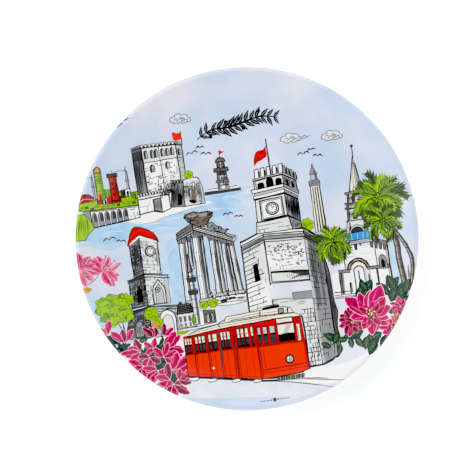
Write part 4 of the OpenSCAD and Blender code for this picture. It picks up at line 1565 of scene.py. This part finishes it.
def front_window(p):
    """The tram's front: windscreen, blank sign board, lamp and bumper."""
    for x0, x1 in ((-1.6, 0.6), (1.6, 4.4), (5.6, 9)):
        p.fill("black", box(x0, x1, -63, -52.4))
        p.fill("silver", box(x0 + 0.3, x1 - 0.4, -57, -53))
        p.fill("soot", [(x0 + 0.3, -62.6), (x1 - 0.3, -62.6), (x1 - 0.3, -58.2), (x0 + 0.3, -58)])
    p.shape("brick", box(9.8, 20.6, -63.6, -51.6), 0.3)
    p.fill("cream", box(10.6, 20, -58.6, -53))
    p.fill("silver", [(13, -58.6), (16, -58.6), (19, -53.2), (16, -53.2)])
    p.fill("black", [(10.6, -63), (20.2, -63), (20.2, -58.6), (15.6, -58.2), (10.6, -58.8)])
    p.shape("paper", [(10.4, -52), (19.8, -52), (19.8, -49.2), (10.4, -49.1)], 0.44)
    p.line([(12, -50.6), (18, -50.6)], 0.5, "silver")
    p.shape("paper", box(21.6, 23.6, -63.8, -53.6), 0.4, "brick")
    p.fill("leaf", box(21.9, 22.5, -63, -55))
    for x in (10, 20.6, 24.8):
        p.line([(x, -50), (x + 0.1, -63.8)], 0.6, "brick")
    p.line([(-2.4, -64.2), (25.6, -64.4)], 0.5, "brick")
    p.line([(-1.6, -78), (12, -77.6), (25.4, -76.8)], 0.6, "brick")
    p.line([(-1.4, -79.8), (12, -79.6), (25.4, -78.8)], 0.4, "brick")
    p.line([(0.6, -66), (0.4, -77)], 0.34, "brick")
    p.fill("red", [(24.4, -64), (25.8, -64), (26, -80.4), (24.6, -80.8)])
    p.dot(15.2, -73.6, 2.7, "black", 18)
    p.dot(15.2, -73.6, 1.9, "silver", 14)
    p.dot(14.8, -73.2, 1.1, "paper", 10)
    p.line([(13.6, -73.6), (16.8, -73.6)], 0.3)
    p.line([(15.2, -75.2), (15.2, -72)], 0.3)
    p.line(arc(15.2, -76.4, 3.4, 1.2, 200, 340, 6), 0.5, "brick")


def maker_mark(p):
    """A small plain ornament at the foot of the picture."""
    p.line([(-5.6, -95), (0.2, -95)], 0.5, "soot", taper=True)
    p.line([(5.8, -95), (11.6, -95)], 0.5, "soot", taper=True)
    for x, r in ((3, 1.1), (1, 0.45), (5, 0.45)):
        p.dot(x, -95, r, "soot", 12)


def paint():
    """The whole picture, in printing order."""
    p = Picture(seed=12)
    sky_and_ground(p)
    cloud(p, -29, 75, 12)
    cloud(p, 34, 55, 12, tail=True)
    cloud(p, 58, 53, 12)
    gulls(p, (
        (-25, 54, 7, 8), (-17, 52.6, 6, -6), (-20, 57, 4.6, 0), (40, 44.6, 7, 4), (48, 42.4, 5.4, -8),
        (45, 46.6, 4.4, 6), (-9, 15.6, 6, 6), (-3, 13.4, 4.8, -6), (-80, 10.4, 7, 6), (-73.6, 8.4, 5.4, -8),
        (-64, 75.4, 3.6, 30), (-59.6, 78.2, 3, 24),
    ))
    flourish(p)
    west_town(p)
    castle(p)
    lighthouse(p)
    roofed_tower(p)
    lime_tree(p)
    temple(p)
    old_quarter(p)
    bush(p, -62, -36, 4, 4)
    bush(p, -58.6, -41.6, 2.8, 3.4)
    p.fill("ochre", rough(p, -60.6, -42.4, 2, 1.5, 5))
    minaret(p)
    clock_tower(p)
    church(p)
    palms(p)
    right_flowers(p)
    left_flowers(p)
    soft_blossoms(p)
    tram(p)
    maker_mark(p)
    return p


# ---------------------------------------------------------------- the print, laid on the face


class Face:
    """The printed side of the plate: its height and normal over every spot of the drawing."""

    def __init__(self, section, turns):
        self.turns = turns
        self.rows = [
            (x / MM, z, normal) for (x, z), normal in section.over_top(section.finished, steps=12, turns=12)
        ]
        self.rim = self.rows[-1][0]

    def ring(self, radius):
        """The corners of one of the plate's rings, in the drawing."""
        step = 2 * math.pi / self.turns
        return [Vector((radius * math.cos(i * step), radius * math.sin(i * step))) for i in range(self.turns)]

    def lift(self, x, y):
        """A spot of the drawing in its place on the face, with the face's normal there."""
        angle = math.atan2(y, x)
        step = 2 * math.pi / self.turns
        off = math.cos(angle % step - step / 2) / math.cos(step / 2)
        reach = min(math.hypot(x, y) * off, self.rim)
        before = self.rows[0]
        for row in self.rows:
            if row[0] >= reach:
                break
            before = row
        span = row[0] - before[0]
        t = (reach - before[0]) / span if span > 0 else 0.0
        t = min(max(t, 0.0), 1.0)
        z = before[1] + (row[1] - before[1]) * t
        lean, up = mix(before[2], row[2], t)
        normal = Vector((lean * math.cos(angle), lean * math.sin(angle), up)).normalized()
        return Vector((x * MM, y * MM, z)), normal


def lay_down(picture, face):
    """Cuts the patches where they cross, so that every spot keeps only the ink printed last.
    Gives the flat mesh's corners, its triangles and the ink of each triangle."""
    far = face.rim * 2
    outlines = [("", [(far, far), (far + 1, far), (far, far + 1)]), ("sky", face.ring(face.rim))]
    outlines += picture.patches
    verts, faces = [], []
    for _, outline in outlines:
        first = len(verts)
        verts += [Vector(p) for p in outline]
        faces.append(list(range(first, len(verts))))
    corners, _, triangles, _, _, printed = delaunay_2d_cdt(verts, [], faces, 1, MERGE)
    # A patch too thin to close would cover the whole sheet: it shows up on the far corner.
    leaks = set()
    for under in printed:
        if 0 in under:
            leaks.update(under)
    kept = [
        (tri, outlines[max(set(under) - leaks)][0]) for tri, under in zip(triangles, printed) if 1 in under
    ]
    # The lines that two inks share are kept, the hidden ones are dropped, and the face's rings are added.
    sides = {}
    for (a, b, c), ink in kept:
        for pair in ((a, b), (b, c), (c, a)):
            sides[pair] = ink
    edges = [
        (a, b)
        for (a, b), ink in sides.items() if sides.get((b, a)) != ink and (a < b or (b, a) not in sides)
    ]
    places = {i: n for n, i in enumerate(sorted({i for pair in edges for i in pair}))}
    verts = [corners[i] for i in places]
    edges = [(places[a], places[b]) for a, b in edges]
    for radius, _, _ in face.rows[:-1]:
        first = len(verts)
        verts += face.ring(radius)
        last = len(verts) - 1
        edges += [(i, i + 1) for i in range(first, last)] + [(last, first)]
    clean, _, cells, _, _, _ = delaunay_2d_cdt(verts, edges, [], 1, MERGE)
    sheet = BVHTree.FromPolygons([(x, y, 0) for x, y in corners], [tri for tri, _ in kept])
    laid = []
    for cell in cells:
        x, y = sum((clean[i] for i in cell), Vector((0, 0))) / 3
        laid.append((cell, kept[sheet.find_nearest((x, y, 0))[2]][1]))
    return clean, laid


def print_piece(ink, corners, triangles, face):
    """One ink's share of the print as a mesh that follows the face."""
    mesh = bmesh.new()
    sheet = mesh.loops.layers.uv.new("OFBake")
    made, normals = {}, []
    for triangle in triangles:
        for i in triangle:
            if i not in made:
                place, normal = face.lift(*corners[i])
                made[i] = mesh.verts.new(place)
                normals.append(normal)
        patch = mesh.faces.new([made[i] for i in triangle])
        patch.smooth = True
        for loop in patch.loops:
            x, y = loop.vert.co.xy / (2 * face.rim * MM)
            loop[sheet].uv = (0.5 + x, 0.5 + y)
    name = "print_" + ink
    data = bpy.data.meshes.new(name)
    mesh.to_mesh(data)
    mesh.free()
    data.normals_split_custom_set_from_vertices(normals)
    piece = bpy.data.objects.new(name, data)
    bpy.context.scene.collection.objects.link(piece)
    return piece


# ---------------------------------------------------------------- materials


def node(tree, kind, **values):
    """A new node; values name its own settings, or its inputs when they start with a capital."""
    made = tree.nodes.new(kind)
    for key, value in values.items():
        if key[0].isupper():
            made.inputs[key.replace("_", " ")].default_value = value
        else:
            setattr(made, key, value)
    return made


def wire(tree, *links):
    """Links nodes; each link is a node, its output, the next node and its input."""
    for source, output, target, entry in links:
        tree.links.new(source.outputs[output], target.inputs[entry])


def shared_group(name, maker):
    """The node group of that name, made when it is first asked for."""
    return bpy.data.node_groups.get(name) or maker()


def ink_wash():
    """The group that lets an ink lie unevenly: broad washes, a fine grain, and a fade up the face."""
    group = bpy.data.node_groups.new("Ink wash", "ShaderNodeTree")
    sockets = group.interface
    for name, kind, value in (
        ("Ink", "NodeSocketColor", (0.5, 0.5, 0.5, 1)), ("Thin ink", "NodeSocketColor", (1, 1, 1, 1)),
        ("Wash size", "NodeSocketFloat", 0.008), ("Wash", "NodeSocketFloat", 0.5),
        ("Grain", "NodeSocketFloat", 0.2), ("Fade", "NodeSocketFloat", 0.0),
    ):
        made = sockets.new_socket(name=name, in_out="INPUT", socket_type=kind)
        made.default_value = value
    sockets.new_socket(name="Colour", in_out="OUTPUT", socket_type="NodeSocketColor")
    given = group.nodes.new("NodeGroupInput")
    made = group.nodes.new("NodeGroupOutput")
    place = node(group, "ShaderNodeTexCoord")
    per_metre = node(group, "ShaderNodeMath", operation="DIVIDE")
    per_metre.inputs[0].default_value = 1.0
    wash = node(group, "ShaderNodeTexNoise", Detail=3.0, Roughness=0.55)
    grain = node(group, "ShaderNodeTexNoise", Scale=1500.0, Detail=1.0)
    spread = node(group, "ShaderNodeMapRange", From_Min=0.34, From_Max=0.66)
    split = node(group, "ShaderNodeSeparateXYZ")
    high = node(group, "ShaderNodeMapRange", From_Min=0.05, From_Max=0.1)
    wire(
        group, (given, "Wash size", per_metre, 1), (place, "Object", wash, "Vector"),
        (place, "Object", grain, "Vector"), (place, "Object", split, "Vector"),
        (per_metre, 0, wash, "Scale"), (wash, "Fac", spread, "Value"), (split, "Y", high, "Value"),
    )
    total = None
    for source, amount in ((spread, "Wash"), (grain, "Grain"), (high, "Fade")):
        share = node(group, "ShaderNodeMath", operation="MULTIPLY_ADD")
        share.inputs[2].default_value = 0.0
        wire(group, (source, 0, share, 0), (given, amount, share, 1))
        if total:
            wire(group, (total, 0, share, 2))
        total = share
    total.use_clamp = True
    tint = node(group, "ShaderNodeMix", data_type="RGBA")
    wire(
        group, (total, 0, tint, "Factor"), (given, "Ink", tint, "A"), (given, "Thin ink", tint, "B"),
        (tint, "Result", made, "Colour"),
    )
    return group


def fired_glaze():
    """The group for the fired clay and glaze: slow ripples as a height, and iron specks as a mask."""
    group = bpy.data.node_groups.new("Fired surface", "ShaderNodeTree")
    sockets = group.interface
    for name, value in (("Ripple size", 0.014), ("Speck size", 0.0011), ("Specks", 0.2)):
        made = sockets.new_socket(name=name, in_out="INPUT", socket_type="NodeSocketFloat")
        made.default_value = value
    for name in ("Ripple", "Speck"):
        sockets.new_socket(name=name, in_out="OUTPUT", socket_type="NodeSocketFloat")
    given = group.nodes.new("NodeGroupInput")
    made = group.nodes.new("NodeGroupOutput")
    place = node(group, "ShaderNodeTexCoord")
    patterns = []
    for size, kind in (("Ripple size", "ShaderNodeTexNoise"), ("Speck size", "ShaderNodeTexVoronoi")):
        per_metre = node(group, "ShaderNodeMath", operation="DIVIDE")
        per_metre.inputs[0].default_value = 1.0
        pattern = node(group, kind)
        wire(
            group, (given, size, per_metre, 1), (per_metre, 0, pattern, "Scale"),
            (place, "Object", pattern, "Vector"),
        )
        patterns.append(pattern)
    ripple, cells = patterns
    reach = node(group, "ShaderNodeMapRange", From_Min=0.0, To_Min=1.0, To_Max=0.0)
    wire(
        group, (ripple, "Fac", made, "Ripple"), (given, "Specks", reach, "From Max"),
        (cells, "Distance", reach, "Value"), (reach, "Result", made, "Speck"),
    )
    return group


def material(name, roughness):
    """A plain Principled material with its own tree."""
    made = bpy.data.materials.new(name)
    made.use_nodes = True
    shader = made.node_tree.nodes["Principled BSDF"]
    shader.inputs["Roughness"].default_value = roughness
    shader.inputs["IOR"].default_value = 1.5
    return made, made.node_tree, shader


# How each ink lies: the share of white in its thin places, the wash's size in metres, and how
# much the washes and the grain thin it. Only the sky also fades up the face, towards lilac.
LIE = {
    "sky": (0.45, 0.036, 0.80, 0.10), "mist": (0.50, 0.012, 0.70, 0.25),
    "sea": (0.45, 0.006, 0.70, 0.20), "shallows": (0.45, 0.007, 0.70, 0.20),
    "black": (0.05, 0.003, 0.60, 0.50), "soot": (0.12, 0.003, 0.80, 0.50),
    "orange": (0.03, 0.012, 0.60, 0.30), "red": (0.03, 0.006, 0.60, 0.30),
    "magenta": (0.07, 0.003, 0.70, 0.35), "crimson": (0.07, 0.003, 0.70, 0.35),
    "rose": (0.10, 0.002, 0.80, 0.35), "pink": (0.25, 0.002, 0.80, 0.35),
    "lime": (0.08, 0.004, 0.70, 0.40), "leaf": (0.08, 0.003, 0.70, 0.40),
}
PLAIN_LIE = (0.12, 0.005, 0.70, 0.35)
LILAC = (0.920, 0.915, 0.955)
SKY_FADE = 0.34


def ink_material(key, colour, group, gloss):
    """A fired ink: its colour, thinner in washes and grains, under the glaze's gloss."""
    white, size, wash, grain = LIE.get(key, PLAIN_LIE)
    fade = SKY_FADE if key == "sky" else 0.0
    made, tree, shader = material(INKS[key][0], gloss)
    lie = node(tree, "ShaderNodeGroup")
    lie.node_tree = group
    lie.inputs["Ink"].default_value = linear(colour)
    thin = LILAC if key == "sky" else [c + (1 - c) * white for c in colour]
    lie.inputs["Thin ink"].default_value = linear(thin)
    for name, value in (("Wash size", size), ("Wash", wash), ("Grain", grain), ("Fade", fade)):
        lie.inputs[name].default_value = value
    wire(tree, (lie, "Colour", shader, "Base Color"))
    return made


def clay_material(name, colour, roughness, speck_colour, speck_size, specks, ripple_size, bump):
    """Fired porcelain or glaze: rippled, with a few specks. Sizes are in metres."""
    made, tree, shader = material(name, roughness)
    fired = node(tree, "ShaderNodeGroup")
    fired.node_tree = shared_group("Fired surface", fired_glaze)
    for key, value in (("Ripple size", ripple_size), ("Speck size", speck_size), ("Specks", specks)):
        fired.inputs[key].default_value = value
    tint = node(tree, "ShaderNodeMix", data_type="RGBA")
    tint.inputs["A"].default_value = linear(colour)
    tint.inputs["B"].default_value = linear(speck_colour)
    relief = node(tree, "ShaderNodeBump", Distance=bump)
    wire(
        tree, (fired, "Speck", tint, "Factor"), (tint, "Result", shader, "Base Color"),
        (fired, "Ripple", relief, "Height"), (relief, "Normal", shader, "Normal"),
    )
    return made


# ---------------------------------------------------------------- operators


def finish_piece(piece, body_material, node_name):
    """Gives a piece its material and its place in the frame, and hides the CAD node whose place it takes."""
    piece.data.materials.clear()
    piece.data.materials.append(body_material)
    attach(piece, "root")
    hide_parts(node_name)


class PLATE_OT_blank(bpy.types.Operator):
    """Adds the fired porcelain plate with its foot ring"""

    bl_idname = "souvenir_plate.blank"
    bl_label = "Porcelain blank"

    def execute(self, context):
        sizes, finish = context.scene.plate_sizes, context.scene.plate_finish
        section = Section(sizes)
        outline = [(0, section.middle + section.half)]
        outline += points_of(section.over_top(section.half) + section.under(section.half)[1:])
        outline += section.foot_side(1, 0, 0) + section.foot_side(-1, 0, 0)[::-1]
        outline.append((0, section.foot_top))
        blank = revolve("porcelain_blank", outline, sizes.turns)
        pierce(blank, sizes)
        clay = clay_material(
            "Bare porcelain", finish.bisque, roughness=0.62, speck_colour=(0.62, 0.55, 0.46),
            speck_size=0.0016, specks=0.16, ripple_size=0.002, bump=0.00008,
        )
        finish_piece(blank, clay, "porcelain_body")
        return {"FINISHED"}


class PLATE_OT_glaze(bpy.types.Operator):
    """Adds the white glaze: one coat over the face, rim and back, one in the foot ring's recess"""

    bl_idname = "souvenir_plate.glaze"
    bl_label = "White glaze"

    def execute(self, context):
        sizes, finish = context.scene.plate_sizes, context.scene.plate_finish
        section = Section(sizes)
        coat = section.half + sizes.glaze
        under = []
        for i, ((x, z), (lean, up)) in enumerate(section.under(coat)):
            # Where the print ends, the glaze starts flush with it, and thins over the lip's rows.
            out = sizes.print_coat * (1 - blend(i / LIP_ROWS))
            under.append((x + lean * out, z + up * out))
        inner = section.over_top(section.half) + section.under(section.half)[1:]
        outline = [(0, section.middle + coat)] + points_of(section.over_top(coat)) + under
        outline += section.foot_side(1, sizes.glaze, sizes.foot_bare)
        outline += section.foot_side(1, 0, sizes.foot_bare)[::-1] + points_of(inner)[::-1]
        outline.append((0, section.middle + section.half))
        recess = [(0, section.foot_top - sizes.glaze)] + section.foot_side(-1, sizes.glaze, sizes.foot_bare)
        recess += section.foot_side(-1, 0, sizes.foot_bare)[::-1] + [(0, section.foot_top)]
        white = clay_material(
            "White glaze", finish.glaze_white, roughness=finish.gloss, speck_colour=(0.80, 0.79, 0.76),
            speck_size=0.006, specks=0.03, ripple_size=0.016, bump=0.00012,
        )
        for name, rim in (("glaze_coat", outline), ("glaze_recess", recess)):
            piece = revolve(name, rim, sizes.turns)
            pierce(piece, sizes)
            finish_piece(piece, white, "white_glaze")
        return {"FINISHED"}


class PLATE_OT_print(bpy.types.Operator):
    """Adds the printed picture, one piece for each ink"""

    bl_idname = "souvenir_plate.print"
    bl_label = "Printed picture"

    def execute(self, context):
        scene = context.scene
        face = Face(Section(scene.plate_sizes), scene.plate_sizes.turns)
        corners, kept = lay_down(paint(), face)
        group = shared_group("Ink wash", ink_wash)
        for key in INKS:
            share = [triangle for triangle, ink in kept if ink == key]
            if not share:
                raise RuntimeError(f"the picture leaves no room for the ink {key}")
            piece = print_piece(key, corners, share, face)
            ink = ink_material(key, getattr(scene.plate_inks, key), group, scene.plate_finish.print_gloss)
            finish_piece(piece, ink, "picture_transfer")
        return {"FINISHED"}


def soft_light(name, place, size, power, target):
    """A soft rectangular light that points at the target."""
    data = bpy.data.lights.new(name, "AREA")
    data.shape = "RECTANGLE"
    data.size, data.size_y = size
    data.energy = power
    lamp = bpy.data.objects.new(name, data)
    lamp.location = place
    lamp.rotation_euler = (Vector(place) - Vector(target)).to_track_quat("Z", "Y").to_euler()
    lamp.visible_camera = False
    bpy.context.scene.collection.objects.link(lamp)
    return lamp


# The stage, in metres and watts. The floor lies just below the foot ring's resting face.
FLOOR_SIZE, FLOOR_DROP = 6, 0.0002
FLOOR_GREY, FLOOR_GLOW = 0.92, 0.26
DOME_DIM_FROM, DOME_DIM_TO = math.radians(48), math.radians(68)
DOME_STRENGTH, DOME_TOP, DOME_LOW = 1.26, 0.07, 0.4
LAMPS = (
    ("left light", (-1.2, 0.25, 0.70), (0.9, 0.22), 3.0), ("back light", (0.3, 1.3, 0.72), (1.0, 0.3), 2.0),
)
AIM = (0, 0, 0.01)
LENS, VIEW_WIDTH, VIEW_LEVEL = 90, 0.274, 0.018
VIEW_RIGHT, VIEW_UP = -0.0070, 0.0022
BLACK_LEVEL = 0.012


def dome_light(tree):
    """A soft dome, dim straight above, where the flat face would mirror it, and towards the horizon."""
    tree.links.clear()
    background = tree.nodes["Background"]
    background.inputs["Color"].default_value = (0.98, 0.99, 1, 1)
    place = node(tree, "ShaderNodeTexCoord")
    split = node(tree, "ShaderNodeSeparateXYZ")
    dim = node(
        tree, "ShaderNodeMapRange", From_Min=math.sin(DOME_DIM_FROM), From_Max=math.sin(DOME_DIM_TO),
        To_Min=DOME_STRENGTH, To_Max=DOME_TOP,
    )
    low = node(tree, "ShaderNodeMapRange", From_Min=-0.05, From_Max=0.45, To_Min=DOME_LOW, To_Max=1.0)
    both = node(tree, "ShaderNodeMath", operation="MULTIPLY")
    wire(
        tree, (background, 0, tree.nodes["World Output"], 0), (place, "Generated", split, "Vector"),
        (split, "Z", dim, "Value"), (split, "Z", low, "Value"), (dim, "Result", both, 0),
        (low, "Result", both, 1), (both, 0, background, "Strength"),
    )


class PLATE_OT_stage(bpy.types.Operator):
    """Adds the pale floor, the soft lights and the camera above the plate"""

    bl_idname = "souvenir_plate.stage"
    bl_label = "Stage"

    def execute(self, context):
        scene = context.scene
        tilt = scene.plate_finish.tilt
        bpy.ops.mesh.primitive_plane_add(size=FLOOR_SIZE, location=(0, 0, -FLOOR_DROP))
        floor = context.object
        floor.name = "floor"
        pale, tree, shader = material("Pale floor", 0.9)
        shader.inputs["Base Color"].default_value = (FLOOR_GREY, FLOOR_GREY, FLOOR_GREY, 1)
        shader.inputs["Specular IOR Level"].default_value = 0.1
        shader.inputs["Emission Color"].default_value = (1, 1, 1, 1)
        facing = node(tree, "ShaderNodeLayerWeight", Blend=0.5)
        glow = node(tree, "ShaderNodeMapRange", From_Min=0.1, From_Max=0.6, To_Min=FLOOR_GLOW, To_Max=0.0)
        back = node(tree, "ShaderNodeNewGeometry")
        clear = node(tree, "ShaderNodeBsdfTransparent")
        choose = node(tree, "ShaderNodeMixShader")
        wire(
            tree, (facing, "Facing", glow, "Value"), (glow, "Result", shader, "Emission Strength"),
            (back, "Backfacing", choose, "Fac"), (shader, 0, choose, 1), (clear, 0, choose, 2),
            (choose, 0, tree.nodes["Material Output"], "Surface"),
        )
        floor.data.materials.append(pale)
        world = bpy.data.worlds.new("Studio")
        world.use_nodes = True
        dome_light(world.node_tree)
        scene.world = world
        for lamp in LAMPS:
            soft_light(*lamp, AIM)
        data = bpy.data.cameras.new("camera")
        data.lens = LENS
        data.clip_start, data.clip_end = 0.01, 20
        camera = bpy.data.objects.new("camera", data)
        right = Vector((math.cos(tilt), -math.sin(tilt), 0))
        up = Vector((math.sin(tilt), math.cos(tilt), 0))
        height = VIEW_LEVEL + VIEW_WIDTH * LENS / data.sensor_width
        camera.location = Vector((0, 0, height)) + VIEW_RIGHT * right + VIEW_UP * up
        camera.rotation_euler = (0, 0, -tilt)
        scene.collection.objects.link(camera)
        scene.camera = camera
        scene.view_settings.view_transform = "Standard"
        scene.view_settings.use_curve_mapping = True
        scene.view_settings.curve_mapping.black_level = (BLACK_LEVEL,) * 3
        return {"FINISHED"}


class PLATE_PT_panel(bpy.types.Panel):
    """The plate's pieces, sizes and colours"""

    bl_idname = "PLATE_PT_panel"
    bl_label = "Souvenir plate"
    bl_space_type = "VIEW_3D"
    bl_region_type = "UI"
    bl_category = "Souvenir plate"

    def draw(self, context):
        layout, scene = self.layout, context.scene
        for operator in OPERATORS:
            layout.operator(operator.bl_idname)
        for title, settings in (
            ("Sizes", scene.plate_sizes), ("Finish", scene.plate_finish), ("Inks", scene.plate_inks),
        ):
            group = layout.box()
            group.label(text=title)
            for name in settings.bl_rna.properties.keys():
                if name not in {"rna_type", "name"}:
                    group.prop(settings, name)


SETTINGS = {"plate_sizes": PlateSizes, "plate_finish": PlateFinish, "plate_inks": PlateInks}
OPERATORS = (PLATE_OT_blank, PLATE_OT_glaze, PLATE_OT_print, PLATE_OT_stage)


def register():
    """Adds the settings, the operators and the panel."""
    for kind in (*SETTINGS.values(), *OPERATORS, PLATE_PT_panel):
        bpy.utils.register_class(kind)
    for name, kind in SETTINGS.items():
        setattr(bpy.types.Scene, name, PointerProperty(type=kind))


def unregister():
    """Takes the settings, the operators and the panel away again."""
    for name in SETTINGS:
        delattr(bpy.types.Scene, name)
    for kind in (PLATE_PT_panel, *reversed(OPERATORS), *SETTINGS.values()):
        bpy.utils.unregister_class(kind)


def main():
    """Builds the plate piece by piece, then its stage."""
    register()
    bpy.ops.souvenir_plate.blank()
    bpy.ops.souvenir_plate.glaze()
    bpy.ops.souvenir_plate.print()
    bpy.ops.souvenir_plate.stage()


if __name__ == "__main__":
    main()
